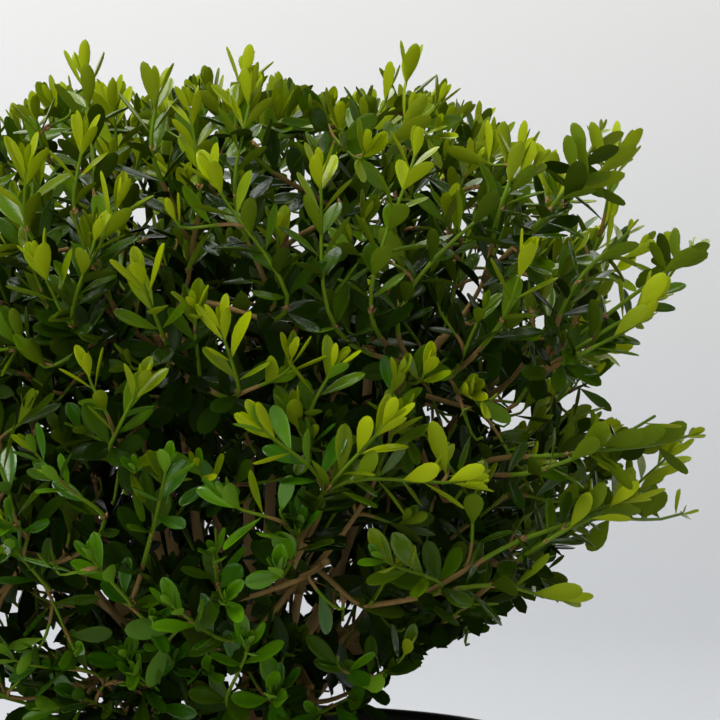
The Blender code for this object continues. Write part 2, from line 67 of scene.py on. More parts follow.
FAN = Vector((0.0, 0.0, 0.235))  # every mass opens from here
UP = Vector((0.0, 0.0, 1.0))
CROWN_CENTRE = 0.352
CROWN_HALF_WIDTH = 0.190
CROWN_HALF_HEIGHT = 0.142
CROWN_SQUARENESS = 2.6  # 2 is an ellipsoid
CROWN_WIDEST = 0.199
CROWN_FLOOR = 0.2085
HALVINGS = 18

RINGS = (  # name, places, masses, elevation and first azimuth of their axes from the fan point, degrees
    ("cap", 1, 1, 90.0, 0.0),
    ("upper", 5, 5, 67.0, 357.0),
    ("shoulder", 7, 7, 46.0, 0.0),
    ("waist", 7, 7, 20.0, 337.1),
    ("skirt", 6, 5, -3.0, 50.0),  # the last place is open: there the underside rises
)
BOUGHS = {  # ring: carrier, how far along it, lead (radius and height), foot radius, tip radius
    "cap": ("trunk", 0.80, (0.003, 0.275), 0.0032, 0.0019),
    "upper": ("trunk", 0.72, (0.045, 0.235), 0.0034, 0.0019),
    "shoulder": ("upper", 0.30, (0.050, 0.228), 0.0029, 0.0018),
    "waist": ("shoulder", 0.30, (0.066, 0.236), 0.0023, 0.0016),
    "skirt": ("trunk", 0.42, (0.036, 0.201), 0.0021, 0.0015),
}
LEAD_PULL = 0.67  # how far a bough's guide points are drawn to its lead
FORK_SPACING = 0.08
BOUGH_TIP = 0.50  # of the reach
BOUGH_STEPS = 5
CLEFT = 0.09  # of the reach, at the border of two masses
CLEFT_WIDTH = 9.0
RELIEF = (  # azimuth, elevation, spread in degrees, share of the reach that is missing or added
    (358.0, 35.0, 13.0, -0.30), (338.0, -2.0, 30.0, -0.16), (128.0, 33.0, 10.0, -0.16),
    (243.0, 57.0, 9.0, -0.10), (200.0, -4.0, 42.0, 0.16), (60.0, -4.0, 40.0, 0.12),
)
SHOOT_RELIEF = (  # the same, for the shoots alone
    (325.0, -5.0, 19.0, -0.50), (355.0, -5.0, 19.0, -0.50), (25.0, -5.0, 19.0, -0.50),
    (0.0, 62.0, 8.0, -0.08),
)
LEADERS = (  # azimuth, elevation and reach of shoots that stand out of the clipped outline
    (356.0, 52.5, 0.271), (359.0, 42.5, 0.266), (8.0, 25.5, 0.215), (352.0, 15.5, 0.200),
    (349.0, 8.0, 0.146), (0.0, 76.0, 0.268), (186.0, 39.0, 0.262), (96.0, 47.0, 0.270),
    (222.0, 17.0, 0.205),
)
TARGETS = 194  # over a whole sphere of directions
TARGET_JITTER = 3.0
LOWEST_TARGET = -9.0
TARGET_PULL = 0.16
LEADER_SPACING = 8.0
REACH_SPREAD = (0.93, 1.02)
STEM_END = 0.72  # of the reach
STEM_STUB = 0.004
STEM_STEPS = 4
TWIG_STEPS = 2
SLIDE_BACK = 0.35
UPTURN = 0.35
SPRAY_RUN = 0.0419  # how far a twig of the solids stops short of the outline, for its leaves
TWIG_RADIUS = 0.0015
CELL_MARGIN = 0.0005
LIMB_MARGIN = 0.0010
TWIG_TEST_SPACING = 0.002
GAP = 0.0003  # between any two solids

TRUNK_FOOT = 0.184 + GAP
TRUNK_RINGS = (  # height above the foot, radius, lean to +X
    (0.0000, 0.0135, 0.0000),
    (0.0040, 0.0115, 0.0000),
    (0.0120, 0.0102, 0.0006),
    (0.0210, 0.0100, 0.0014),
    (0.0275, 0.0088, 0.0018),
)
TRUNK_LEAN_Y = -0.5  # of the lean to +X
GOLDEN_ANGLE = math.pi * (3.0 - math.sqrt(5.0))


def ramp(value, start, run):
    """How far a value has got along a run, from 0 to 1."""
    return np.clip((value - start) / run, 0.0, 1.0)


def aim(azimuth, elevation):
    turn, rise = math.radians(azimuth), math.radians(elevation)
    return Vector((math.cos(rise) * math.cos(turn), math.cos(rise) * math.sin(turn), math.sin(rise)))


def list_masses():
    masses = []
    for ring, places, count, elevation, first in RINGS:
        for place in range(count):
            azimuth = (first + 360.0 * place / places) % 360.0
            name = ring if count == 1 else f"{ring}_{place + 1}"
            masses.append({"name": name, "ring": ring, "azimuth": azimuth, "axis": aim(azimuth, elevation)})
    return masses


MASSES = list_masses()
AXES = np.array([mass["axis"][:] for mass in MASSES])


def outline_distance(direction):
    """Distance from the fan point to the clipped outline, by halving the interval."""
    near, far = 0.0, 0.5
    for _ in range(HALVINGS):
        middle = (near + far) / 2
        point = FAN + direction * middle
        wide = math.hypot(point.x, point.y) / CROWN_HALF_WIDTH
        high = abs(point.z - CROWN_CENTRE) / CROWN_HALF_HEIGHT
        if wide**CROWN_SQUARENESS + high**CROWN_SQUARENESS < 1.0:
            near = middle
        else:
            far = middle
    return near


def bump(direction, azimuth, elevation, spread):
    angle = math.degrees(direction.angle(aim(azimuth, elevation)))
    return math.exp(-((angle / spread) ** 2))


def shaped(distance, direction, relief):
    """A distance with the hollows and swells of a table."""
    for *place, share in relief:
        distance *= 1.0 + share * bump(direction, *place)
    return distance


def angles_to_axes(direction):
    return np.degrees(np.arccos(np.clip(AXES @ np.array(direction), -1.0, 1.0)))


def nearest_mass(direction):
    return int(np.argmin(angles_to_axes(direction)))


def reach(direction, cleft=CLEFT):
    """How far from the fan point the foliage gets in a direction."""
    distance = outline_distance(direction)
    angles = np.sort(angles_to_axes(direction))
    border = (angles[1] - angles[0]) / 2
    if border < CLEFT_WIDTH:
        distance *= 1.0 - cleft * (1.0 - border / CLEFT_WIDTH)
    return shaped(distance, direction, RELIEF)


def shoot_reach(direction, cleft=CLEFT):
    """The same for the shoots, which have hollows of their own."""
    return shaped(reach(direction, cleft), direction, SHOOT_RELIEF)


def smooth_curve(start, lead, arrive, end, steps):
    points = []
    for step in range(steps + 1):
        t = step / steps
        s = 1.0 - t
        points.append(start * s**3 + lead * (3 * s * s * t) + arrive * (3 * s * t * t) + end * t**3)
    return points


def curve_to(start, heading, goal, end_heading, steps):
    """A curve that leaves and arrives with the two headings."""
    third = (goal - start).length / 3
    return smooth_curve(start, start + heading * third, goal - end_heading * third, goal, steps)


def taper(first, last, count):
    return [first + (last - first) * at / (count - 1) for at in range(count)]


def point_along(points, share):
    place = share * (len(points) - 1)
    at = min(int(place), len(points) - 2)
    return points[at].lerp(points[at + 1], place - at)


def trunk_limb():
    points = [Vector((lean, lean * TRUNK_LEAN_Y, TRUNK_FOOT + height)) for height, _, lean in TRUNK_RINGS]
    return {"points": points, "radii": [radius for _, radius, _ in TRUNK_RINGS]}


def bough_limb(mass, limbs):
    ring, share, lead, foot_radius, tip_radius = BOUGHS[mass["ring"]]
    carrier = "trunk"
    if ring != "trunk":
        carriers = [other for other in MASSES if other["ring"] == ring]
        nearest = max(carriers, key=lambda other: math.cos(math.radians(other["azimuth"] - mass["azimuth"])))
        carrier = "bough_" + nearest["name"]
        share += FORK_SPACING * sum(limb.get("carrier") == carrier for limb in limbs.values())
    start = point_along(limbs[carrier]["points"], share)
    turn = math.radians(mass["azimuth"])
    bend = Vector((lead[0] * math.cos(turn), lead[0] * math.sin(turn), lead[1]))
    end = FAN + mass["axis"] * (BOUGH_TIP * reach(mass["axis"]))
    guides = (start, start.lerp(bend, LEAD_PULL), end.lerp(bend, LEAD_PULL), end)
    return {
        "points": smooth_curve(*guides, BOUGH_STEPS),
        "guides": guides,
        "radii": taper(foot_radius, tip_radius, BOUGH_STEPS + 1),
        "carrier": carrier,
    }


def list_limbs():
    limbs = {"trunk": trunk_limb()}
    for mass in MASSES:
        limbs["bough_" + mass["name"]] = bough_limb(mass, limbs)
    return limbs


def spread_direction(at, count, jitter, rng):
    """Azimuth and elevation, in degrees, of one of many directions spread evenly over a sphere."""
    height = 1.0 - (2.0 * at + 1.0) / count
    azimuth = math.degrees(GOLDEN_ANGLE * at) + rng.uniform(-jitter, jitter)
    return azimuth, math.degrees(math.asin(height)) + rng.uniform(-jitter, jitter)


def list_targets():
    rng = random.Random("targets")
    targets = [(aim(azimuth, elevation), distance) for azimuth, elevation, distance in LEADERS]
    leaders = [direction for direction, _ in targets]
    for at in range(TARGETS):
        azimuth, elevation = spread_direction(at, TARGETS, TARGET_JITTER, rng)
        share = rng.uniform(*REACH_SPREAD)
        direction = aim(azimuth, elevation)
        near_leader = min(math.degrees(direction.angle(leader)) for leader in leaders) < LEADER_SPACING
        if elevation > LOWEST_TARGET and not near_leader:
            targets.append((direction, shoot_reach(direction) * share))
    return targets


def own_targets(index, targets):
    axis = MASSES[index]["axis"]
    own = [target for target in targets if nearest_mass(target[0]) == index]
    own.sort(key=lambda target: target[0].angle(axis))
    return [(direction.slerp(axis, TARGET_PULL), distance) for direction, distance in own]


def inside_cell(mass, points, margin):
    """Whether the points lie in the mass's own cone, clear of its borders."""
    rows = np.array([tuple(point - FAN) for point in points])
    ways = [np.array((mass["axis"] - other["axis"]).normalized()) for other in MASSES if other is not mass]
    return all((rows @ way).min() >= margin for way in ways)


def points_between(points, spacing):
    between = []
    for foot, tip in pairwise(points):
        run = tip - foot
        count = math.ceil(run.length / spacing)
        between += [tuple(foot + run * (step / count)) for step in range(1, count + 1)]
    return np.array(between)


def limb_clearance(spots, limbs):
    """How far each spot lies from the surface of the nearest limb."""
    least = np.full(len(spots), np.inf)
    for limb in limbs.values():
        for (foot, tip), radius in zip(pairwise(np.array(limb["points"])), limb["radii"]):
            run = tip - foot
            along = np.clip((spots - foot) @ run / (run @ run), 0.0, 1.0)
            away = np.linalg.norm(spots - foot - along[:, None] * run, axis=1) - radius
            least = np.minimum(least, away)
    return least


# ---------------------------------------------------------------- the viewpoint, and what is measured from it

EYE = Vector((0.0484, -1.208, 0.359))
LENS = 143.5
FILM = 36.0
PHOTO_SIDE = 720  # in steps of the photo
VIEW_SCALE = PHOTO_SIDE * LENS / FILM

# The crown's outline as the photo shows it, in the plane of the trunk.
SIDE_LINE = (  # height, and how far to the right it gets there
    (0.216, 0.055), (0.225, 0.055), (0.233, 0.074), (0.241, 0.086), (0.251, 0.113), (0.256, 0.140),
    (0.266, 0.132), (0.275, 0.122), (0.284, 0.152), (0.291, 0.184), (0.300, 0.182), (0.309, 0.170),
    (0.326, 0.195), (0.334, 0.182), (0.343, 0.128), (0.351, 0.148), (0.368, 0.164), (0.393, 0.178),
    (0.410, 0.195), (0.418, 0.160), (0.427, 0.146), (0.452, 0.166), (0.461, 0.152), (0.469, 0.103),
    (0.477, 0.088), (0.495, 0.072),
)
TOP_LINE = (  # X, and how high it gets there
    (-0.19, 0.440), (-0.14, 0.470), (-0.103, 0.470), (-0.070, 0.488), (-0.053, 0.477), (-0.002, 0.489),
    (0.032, 0.475), (0.053, 0.475), (0.065, 0.496), (0.082, 0.480), (0.099, 0.474), (0.116, 0.457),
    (0.133, 0.452), (0.150, 0.464),
)
WINDOWS = (  # openings in the near leaves that show limbs or the dark inside: X, height, radius
    (-0.056, 0.300, 0.011), (-0.059, 0.312, 0.009), (-0.036, 0.281, 0.008), (0.011, 0.294, 0.008),
    (-0.052, 0.252, 0.008), (-0.040, 0.412, 0.010), (-0.019, 0.288, 0.009), (0.082, 0.336, 0.009),
    (0.030, 0.268, 0.007),
)
WINDOW_DEPTH = -0.035  # leaves nearer than this Y leave them free
SKY_GAPS = {  # radius: X and height of each place where the photo shows sky through the crown
    0.0085: (
        (-0.0834, 0.2615), (-0.0800, 0.2421), (-0.0669, 0.2265), (-0.0994, 0.2160), (-0.0989, 0.2497),
        (-0.0034, 0.2236), (0.0438, 0.2526), (0.0362, 0.2189), (0.0244, 0.2585), (0.0429, 0.2392),
    ),
    0.0068: (
        (0.0800, 0.3335), (0.0884, 0.3280), (0.1069, 0.3444), (0.1158, 0.3372), (0.1061, 0.3305),
        (0.0370, 0.2720),
    ),
    0.0056: (
        (0.0804, 0.3772), (0.0897, 0.4130), (0.0981, 0.4012), (0.1175, 0.3924), (0.0964, 0.3878),
        (0.1225, 0.3760),
    ),
}


def seen(x, y, z):
    """Where a point appears in the plane of the trunk."""
    scale = -EYE.y / (y - EYE.y)
    return EYE.x + (x - EYE.x) * scale, EYE.z + (z - EYE.z) * scale


def past_outline(x, y, z):
    """How far outside the photo's outline a point appears, in metres in the plane of the trunk."""
    across, up = seen(x, y, z)
    return np.maximum(across - np.interp(up, *zip(*SIDE_LINE)), up - np.interp(across, *zip(*TOP_LINE)))


# ---------------------------------------------------------------- shoots, coarse as in the solids, then finer

FINE_TARGETS = 4500  # over a whole sphere of directions
FINE_JITTER = 2.6
FINE_LOWEST = -15.0
FINE_RELIEF = ((357.0, 36.0, 8.0, -0.26), (328.0, -10.0, 24.0, -0.20), (190.0, 82.0, 34.0, 0.07))
FINE_THIN = ((305.0, -2.0, 22.0, 0.60), (345.0, 4.0, 20.0, 0.50))  # share of the shoots that is missing
LOW_THIN = 0.30  # the same all round, low down
LOW_THIN_FROM = 24.0  # degrees of elevation
LOW_THIN_RUN = 18.0
# Up to which share of the shoots a row holds, and the shares of the reach between which those end.
FINE_DEPTHS = ((0.31, 0.46, 0.74), (0.55, 0.72, 0.88), (1.0, 0.88, 1.03))
FILL_TARGETS = 170  # more inner shoots below the top, where the photo shows no sky
FILL_ELEVATION = (32.0, 70.0)
FILL_DEPTH = (0.60, 0.86)
FINE_UPTURN = (0.20, 0.70)
FINE_CLEFT = 0.03
LEADER_SPREAD = 6.5  # degrees round a leader that its spray takes up
LEADER_PULL = 0.8  # how far fine shoots follow it out
FINE_SHORTEST = 0.016
FINE_STEPS = 6
FINE_PULL = 0.55  # how soon a shoot heads for its goal
FINE_NEAREST = 0.05  # no goal is drawn in further than this
DRAW_IN = 0.96  # step by which a goal outside the outline is drawn in
WANDER = 0.28  # how far a shoot's end heading strays
LEAF_RUN = 0.012  # what a shoot's last leaves add to its reach
STEM_SMOOTH = 2  # drawn steps for each step of the solids' stems
TWIG_SMOOTH = 3  # and of their twigs
SPRAY_STEPS = 3
TWIG_LEAST = 4  # points that a twig cut back at the outline keeps
# A placed shoot doesn't start from points further out than this share of its foot's distance: they count
# as that much further off.
INNER_SHARE = 0.9
OUTER_FINE = 0.05


class Skeleton:
    """Points of one mass's twigs, each with its heading and the index of the point before it."""

    def __init__(self, stem):
        self.points = []
        self.headings = []
        self.before = []
        self.add(stem, None)

    def add(self, points, carrier):
        before = carrier
        for at in range(0 if carrier is None else 1, len(points)):
            run = points[max(at, 1)] - points[max(at, 1) - 1]
            self.points.append(points[at])
            self.headings.append(run.normalized())
            self.before.append(before)
            before = len(self.points) - 1

    def leave(self, goal, slide_back=SLIDE_BACK, inward=False):
        """Index of the point that a shoot to the goal leaves from: the nearest, slid towards the foot."""
        spots = np.array(self.points[1:])
        away = np.linalg.norm(spots - np.array(goal), axis=1)
        if inward:
            limit = INNER_SHARE * (goal - FAN).length
            away = away + OUTER_FINE * (np.linalg.norm(spots - np.array(FAN), axis=1) > limit)
        at = int(np.argmin(away)) + 1
        slide = slide_back * away[at - 1]
        while slide > 0.0 and self.before[at] != 0:
            before = self.before[at]
            slide -= (self.points[at] - self.points[before]).length
            at = before
        return at


def stem_points(mass, bough, steps):
    """The mass's own stem: its foot off the bough's tip, and the curve that follows."""
    tip, below = bough["points"][-1], bough["points"][-2]
    heading = (tip - below).normalized()
    end = FAN + mass["axis"] * (STEM_END * reach(mass["axis"]))
    curve = curve_to(tip + heading * (GAP + STEM_STUB), heading, end, mass["axis"], steps)
    return [tip + heading * GAP, *curve]


def grow_mass(index, limbs, targets):
    """A mass with its stem and the twigs of the solids, drawn finer: mass, skeleton and shoots."""
    mass = MASSES[index]
    bough = limbs["bough_" + mass["name"]]
    solids = Skeleton(stem_points(mass, bough, STEM_STEPS))
    stem = stem_points(mass, bough, STEM_STEPS * STEM_SMOOTH)
    skeleton = Skeleton(stem)
    shoots = [{"kind": "stem", "points": stem, "depth": STEM_END}]
    for direction, distance in own_targets(index, targets):
        end_heading = (direction + UP * UPTURN).normalized()
        goal = FAN + direction * distance - end_heading * SPRAY_RUN
        at = solids.leave(goal)
        start = solids.points[at]
        way = (start, solids.headings[at], goal, end_heading)
        solid = curve_to(*way, TWIG_STEPS)
        if not inside_cell(mass, solid[1:], TWIG_RADIUS + CELL_MARGIN):
            continue
        if limb_clearance(points_between(solid, TWIG_TEST_SPACING), limbs).min() < TWIG_RADIUS + LIMB_MARGIN:
            continue
        solids.add(solid, at)
        # The drawn twig goes on from there to carry its small leaves, as far as the photo's outline.
        end = goal + end_heading * (SPRAY_RUN - LEAF_RUN)
        points = curve_to(*way, TWIG_STEPS * TWIG_SMOOTH)
        points += curve_to(goal, end_heading, end, end_heading, SPRAY_STEPS)[1:]
        while len(points) > TWIG_LEAST and past_outline(*points[-1]) > 0.0:
            points.pop()
        skeleton.add(points, skeleton.leave(start, 0.0))
        shoots.append({"kind": "twig", "points": points, "depth": distance / reach(direction)})
    return mass, skeleton, shoots


def fine_reach(direction):
    """The reach of fine shoots: shallower clefts, and a spray round each leader."""
    distance = shoot_reach(direction, FINE_CLEFT)
    for azimuth, elevation, far in LEADERS:
        near = bump(direction, azimuth, elevation, LEADER_SPREAD)
        distance += max(0.0, far - distance) * LEADER_PULL * near
    return shaped(distance, direction, FINE_RELIEF)


def any_way(rng):
    return Vector((rng.uniform(-1, 1), rng.uniform(-1, 1), rng.uniform(-1, 1)))


def fine_targets():
    """Depth, direction, upturn and stray of the fine shoots of all masses, inner ones first."""
    rng = random.Random("fine")
    found = []
    for at in range(FINE_TARGETS):
        azimuth, elevation = spread_direction(at, FINE_TARGETS, FINE_JITTER, rng)
        pick = rng.random()
        depth = rng.uniform(*next(depths for share, *depths in FINE_DEPTHS if pick <= share))
        turn_up = rng.uniform(*FINE_UPTURN)
        stray = any_way(rng) * WANDER
        direction = aim(azimuth, elevation)
        present = math.prod(1.0 - share * bump(direction, *place) for *place, share in FINE_THIN)
        present *= 1.0 - LOW_THIN * ramp(LOW_THIN_FROM - elevation, 0.0, LOW_THIN_RUN)
        if elevation < FINE_LOWEST or rng.random() > present:
            continue
        found.append((depth, direction, turn_up, stray))
    for at in range(FILL_TARGETS):
        elevation = rng.uniform(*FILL_ELEVATION)
        depth = rng.uniform(*FILL_DEPTH)
        stray = any_way(rng) * WANDER
        direction = aim(math.degrees(GOLDEN_ANGLE * at), elevation)
        found.append((depth, direction, rng.uniform(*FINE_UPTURN), stray))
    found.sort(key=lambda target: target[0])
    return found


def grow_fine(masses, found, placed):
    """Finer shoots on all masses: each leaves the nearest twig, slid back towards its foot."""
    ways = [(foot.lerp(tip, share) - FAN).normalized() for foot, tip, _ in placed for share in WAY_SHARES]
    ways = np.array(ways)
    nearest = math.cos(math.radians(PLACED_SPACING))
    for depth, direction, turn_up, stray in found:
        if depth > PLACED_CLEAR and (ways @ np.array(direction)).max() > nearest:
            continue
        _, skeleton, shoots = masses[nearest_mass(direction)]
        end_heading = (direction + UP * turn_up + stray).normalized()
        distance = depth * fine_reach(direction)
        while distance > FINE_NEAREST and past_outline(*(FAN + direction * distance)) > 0.0:
            distance *= DRAW_IN
        goal = FAN + direction * distance - end_heading * LEAF_RUN
        at = skeleton.leave(goal)
        start = skeleton.points[at]
        if goal.z < CROWN_FLOOR or (goal - start).length < FINE_SHORTEST:
            continue
        out = skeleton.headings[at].lerp((goal - start).normalized(), FINE_PULL).normalized()
        points = curve_to(start, out, goal, end_heading, FINE_STEPS)
        skeleton.add(points, at)
        shoots.append({"kind": "shoot", "points": points, "depth": depth})


# Shoots that the photo shows clearly on the near side. First, how far out the foot and the tip lie, as a
# share of the distance to the crown's near surface; then column and row of both, and the leaves' tone.
PLACED = (
    (0.93, 0.99, (
        (327, 491, 387, 422, 0.42), (327, 491, 466, 481, 0.30), (323, 488, 262, 428, 0.22),
    )),
    (0.84, 0.98, ((337, 330, 320, 172, 0.10),)),
    (0.84, 0.99, ((371, 313, 416, 152, 0.30),)),
    (0.84, 0.98, ((286, 312, 212, 178, 0.05),)),
    (0.86, 0.98, ((500, 324, 524, 262, 0.22),)),
    (0.82, 0.97, ((400, 312, 532, 168, 0.05),)),
    (0.86, 0.98, ((75, 215, 84, 138, 0.34), (165, 340, 142, 280, 0.26))),
    (0.84, 0.97, ((200, 190, 190, 108, 0.18), (235, 200, 252, 90, 0.15))),
    (0.86, 0.98, ((30, 235, 26, 168, 0.30),)),
    (0.88, 0.98, (
        (75, 328, 40, 265, 0.12), (75, 328, 96, 236, 0.08), (75, 328, 118, 205, 0.05),
        (110, 450, 140, 385, -0.05), (105, 520, 56, 480, 0.02), (132, 605, 93, 560, 0.20),
        (236, 640, 172, 606, 0.12), (236, 708, 249, 644, 0.16), (238, 395, 220, 325, 0.40),
        (150, 540, 166, 470, -0.05),
    )),
    (0.86, 0.98, ((440, 590, 384, 560, 0.02),)),
    (0.90, 1.00, (
        (545, 215, 600, 132, 0.15), (560, 208, 618, 152, 0.30), (600, 320, 692, 246, 0.22),
        (575, 285, 628, 232, 0.10), (590, 340, 655, 300, 0.20), (585, 352, 640, 322, 0.10),
        (560, 455, 688, 436, 0.15), (540, 470, 655, 416, 0.15), (520, 540, 684, 514, 0.15),
        (560, 530, 650, 486, 0.10), (540, 545, 622, 500, 0.20), (490, 585, 562, 600, -0.10),
    )),
    (0.86, 0.98, ((92, 140, 84, 75, 0.05), (152, 150, 158, 92, 0.00), (238, 130, 246, 73, 0.10))),
    (0.90, 1.00, ((500, 210, 521, 149, 0.10),)),
)
PLACED_SPACING = 3.4  # degrees round a placed shoot that no fine shoot takes
PLACED_CLEAR = 0.90  # share of the reach from which that holds
WAY_SHARES = (0.2, 0.6, 1.0)  # places along a placed shoot from which that is measured
PLACED_SLIDE = 0.3
PLACED_PULL = 0.6  # how soon the carrier of a placed shoot heads for its foot
PLACED_TURN = 0.45  # how much of the turn from carrier to shoot is made at the foot
PLACED_UPTURN = 0.1
NEAR_START = -0.15  # the first guess of a point's Y, which some rounds bring home
NEAR_ROUNDS = 8


def near_surface(column, row, share):
    """The point of the crown's near side that shows at a column and row of the photo."""
    y = NEAR_START
    for _ in range(NEAR_ROUNDS):
        x = EYE.x + (column - PHOTO_SIDE / 2) * (y - EYE.y) / VIEW_SCALE
        z = EYE.z + (PHOTO_SIDE / 2 - row) * (y - EYE.y) / VIEW_SCALE
        high = abs(z - CROWN_CENTRE) / CROWN_HALF_HEIGHT
        wide = CROWN_HALF_WIDTH * (1.0 - high**CROWN_SQUARENESS) ** (1.0 / CROWN_SQUARENESS)
        y = -share * math.sqrt(max(wide**2 - x**2, 0.0))
    return Vector((x, y, z))


def list_placed():
    """Foot, tip and tone of each placed shoot."""
    shoots = []
    for deep, out, rows in PLACED:
        for *places, tone in rows:
            shoots.append((near_surface(*places[:2], deep), near_surface(*places[2:], out), tone))
    return shoots


def grow_placed(masses, placed):
    """The placed shoots: each has a carrier to its foot, then runs to its tip."""
    for foot, tip, tone in placed:
        _, skeleton, shoots = masses[nearest_mass((foot - FAN).normalized())]
        heading = (tip - foot).normalized()
        at = skeleton.leave(foot, PLACED_SLIDE, inward=True)
        start = skeleton.points[at]
        straight = (foot - start).normalized()
        out = skeleton.headings[at].lerp(straight, PLACED_PULL).normalized()
        arrive = straight.lerp(heading, PLACED_TURN).normalized()
        end_heading = (heading + UP * PLACED_UPTURN).normalized()
        points = curve_to(start, out, foot, arrive, FINE_STEPS)
        points += curve_to(foot, arrive, tip, end_heading, FINE_STEPS)[1:]
        skeleton.add(points, at)
        leafy = (tip - foot).length
        shoots.append({"kind": "placed", "points": points, "depth": 1.0, "tone": tone, "leafy": leafy})


# ---------------------------------------------------------------- leaves

# Place along the leaf, and half-width there as a share of the widest.
LEAF_STATIONS = ((0.08, 0.13), (0.27, 0.52), (0.47, 0.88), (0.665, 1.00), (0.84, 0.82), (0.95, 0.47))
LEAF_ACROSS = (-1.0, -0.52, 0.0, 0.52, 1.0)
PLAIN_STATIONS = LEAF_STATIONS[1:5]
PLAIN_ACROSS = (-1.0, 0.0, 1.0)
LEAF_THICK = 0.016  # of the length
LEAF_GROOVE = 0.12  # of the half-width, how deep the midrib lies
LEAF_CROWN = 0.15  # of the half-width, how high each half swells

LEAF_LENGTH = (0.0162, 0.0210)
LENGTH_SPREAD = (0.93, 1.07)  # from leaf to leaf of one shoot
LEAF_WIDTH = (0.34, 0.41)  # of the length
LOW_WIDTH = 0.07  # how much wider the leaves are at the bottom of the crown
YOUNG_WIDTH = 0.80  # of that width, for the youngest leaf
AGE_WIDTH = 0.22  # and how much of it comes with age
AGE_RUN = 0.035  # from a shoot's tip to its full-grown leaves
NODE_SPACING = (0.0076, 0.0100)
NODE_SIZE = (0.92, 1.04)
TIP_NODES = ((0.0004, 0.52, 16.0), (0.0026, 0.76, 27.0), (0.0070, 0.94, 37.0))  # run-in, size, spread
LEAFY_RUN = {"stem": 0.0, "twig": 0.060, "shoot": 0.052, "placed": 0.092}
LEAFY_SPREAD = (0.85, 1.1)
LEAFY_MOST = 0.86  # of the shoot
OUTLINE_SLACK = {"twig": 0.009, "shoot": 0.004, "placed": 0.009}  # how far leaves may pass the outline
WIDEST_SLACK = 0.004
SPREAD = (60.0, 42.0)  # degrees from the shoot, at the foot and at the end of its leafy part
SPREAD_SOONER = 1.3
SPREAD_JITTER = 9.0
PAIR_JITTER = 0.25
LEAF_LIFT = 0.10  # how far blades turn upward
LEAF_SPLAY = 0.05  # and outward
FACING = (0.25, 0.42)  # how far their upper sides turn outward and up to the light
FACING_JITTER = 0.22
YOUNG_FOLD = (0.08, 0.20)  # radians between the halves of a young leaf, least and how much more
OLD_FOLD = (-0.06, 0.16)
YOUNG_CURL = (-0.05, 0.18)
OLD_CURL = (-0.20, 0.05)
BEND_SPREAD = 0.09
TONE_SPREAD = 0.18  # of the brightness from shoot to shoot
OWN_TONE_SPREAD = 0.07  # and from leaf to leaf
TONE_MOST = 0.27  # how much lighter than the rule a shoot that isn't placed may be
CARRIER_TONE = -0.15  # of the leaves on the twig that carries a placed shoot
INNER_DEPTH = 0.78  # leaves nearer to the middle of the crown get the plain template
INNER_SIZE = 1.18  # and are old leaves, this much larger

# A leaf is a row of numbers: its root, its directions along, across and up, and then these.
LENGTH, WIDTH, FOLD, CURL, BEND, DEPTH, AGE, TONE, OWN_TONE = range(12, 21)


def leaf_template(stations, across):
    """One leaf: vertices, upper triangles, triangles of the back, and which vertices are on the margin.

    A vertex is place along, place across from -1 to 1, half-width there, height in half-widths and layer."""
    vertices = [(0.0, 0.0, 0.0, 0.0, 0.0)]
    rows = []
    for along, width in stations:
        first = len(vertices)
        for place in across:
            height = -LEAF_GROOVE if place == 0.0 else (LEAF_CROWN if abs(place) < 1.0 else 0.0)
            vertices.append((along, place, width, height, 0.0))
        vertices.append((along, 0.0, width, -LEAF_GROOVE, -1.0))
        rows.append(list(range(first, len(vertices))))  # the last one is under the midrib
    tip = len(vertices)
    vertices.append((1.0, 0.0, 0.0, 0.0, 0.0))
    first, last = rows[0], rows[-1]
    front = [(a, b, 0) for a, b in pairwise(first[:-1])]
    back = [(first[-1], first[0], 0), (first[-2], first[-1], 0)]
    for row, after in pairwise(rows):
        for a, b, c, d in zip(row, row[1:-1], after[1:], after):
            front += [(a, c, b), (a, d, c)]
        under, next_under = row[-1], after[-1]
        for a, b, c, d in ((row[0], under, next_under, after[0]), (under, row[-2], after[-2], next_under)):
            back += [(a, b, c), (a, c, d)]
    front += [(a, tip, b) for a, b in pairwise(last[:-1])]
    back += [(last[0], last[-1], tip), (last[-1], last[-2], tip)]
    margin = [0, tip] + [index for row in rows for index in (row[0], row[-2])]
    return np.array(vertices), np.array(front), np.array(back), margin


def at_length(points, table, run):
    """The point of a shoot at a length from its foot, and the shoot's heading there."""
    at = int(np.searchsorted(table, run)) - 1
    share = (run - table[at]) / (table[at + 1] - table[at])
    return points[at].lerp(points[at + 1], share), (points[at + 1] - points[at]).normalized()


def leaf_axes(root, heading, side, spread, rng):
    """A blade's three directions: along it, across it, and its upper side."""
    angle = math.radians(spread)
    outward = (root - FAN).normalized()
    along = heading * math.cos(angle) + side * math.sin(angle)
    along = (along + UP * LEAF_LIFT + outward * LEAF_SPLAY).normalized()
    upper = heading * math.sin(angle) - side * math.cos(angle)
    upper = upper + outward * FACING[0] + UP * FACING[1]
    upper += any_way(rng) * FACING_JITTER
    upper = (upper - along * upper.dot(along)).normalized()
    return along, upper.cross(along), upper


def list_nodes(total, leafy, rng):
    """A shoot's pairs of leaves from the tip down: run from the foot, size and spread."""
    nodes = [(total - run_in, size, spread) for run_in, size, spread in TIP_NODES]
    run = total - TIP_NODES[-1][0] - rng.uniform(*NODE_SPACING)
    while run >= total - leafy:
        share = min(1.0, (total - run) / leafy * SPREAD_SOONER)
        nodes.append((run, rng.uniform(*NODE_SIZE), SPREAD[1] + (SPREAD[0] - SPREAD[1]) * share))
        run -= rng.uniform(*NODE_SPACING)
    return nodes


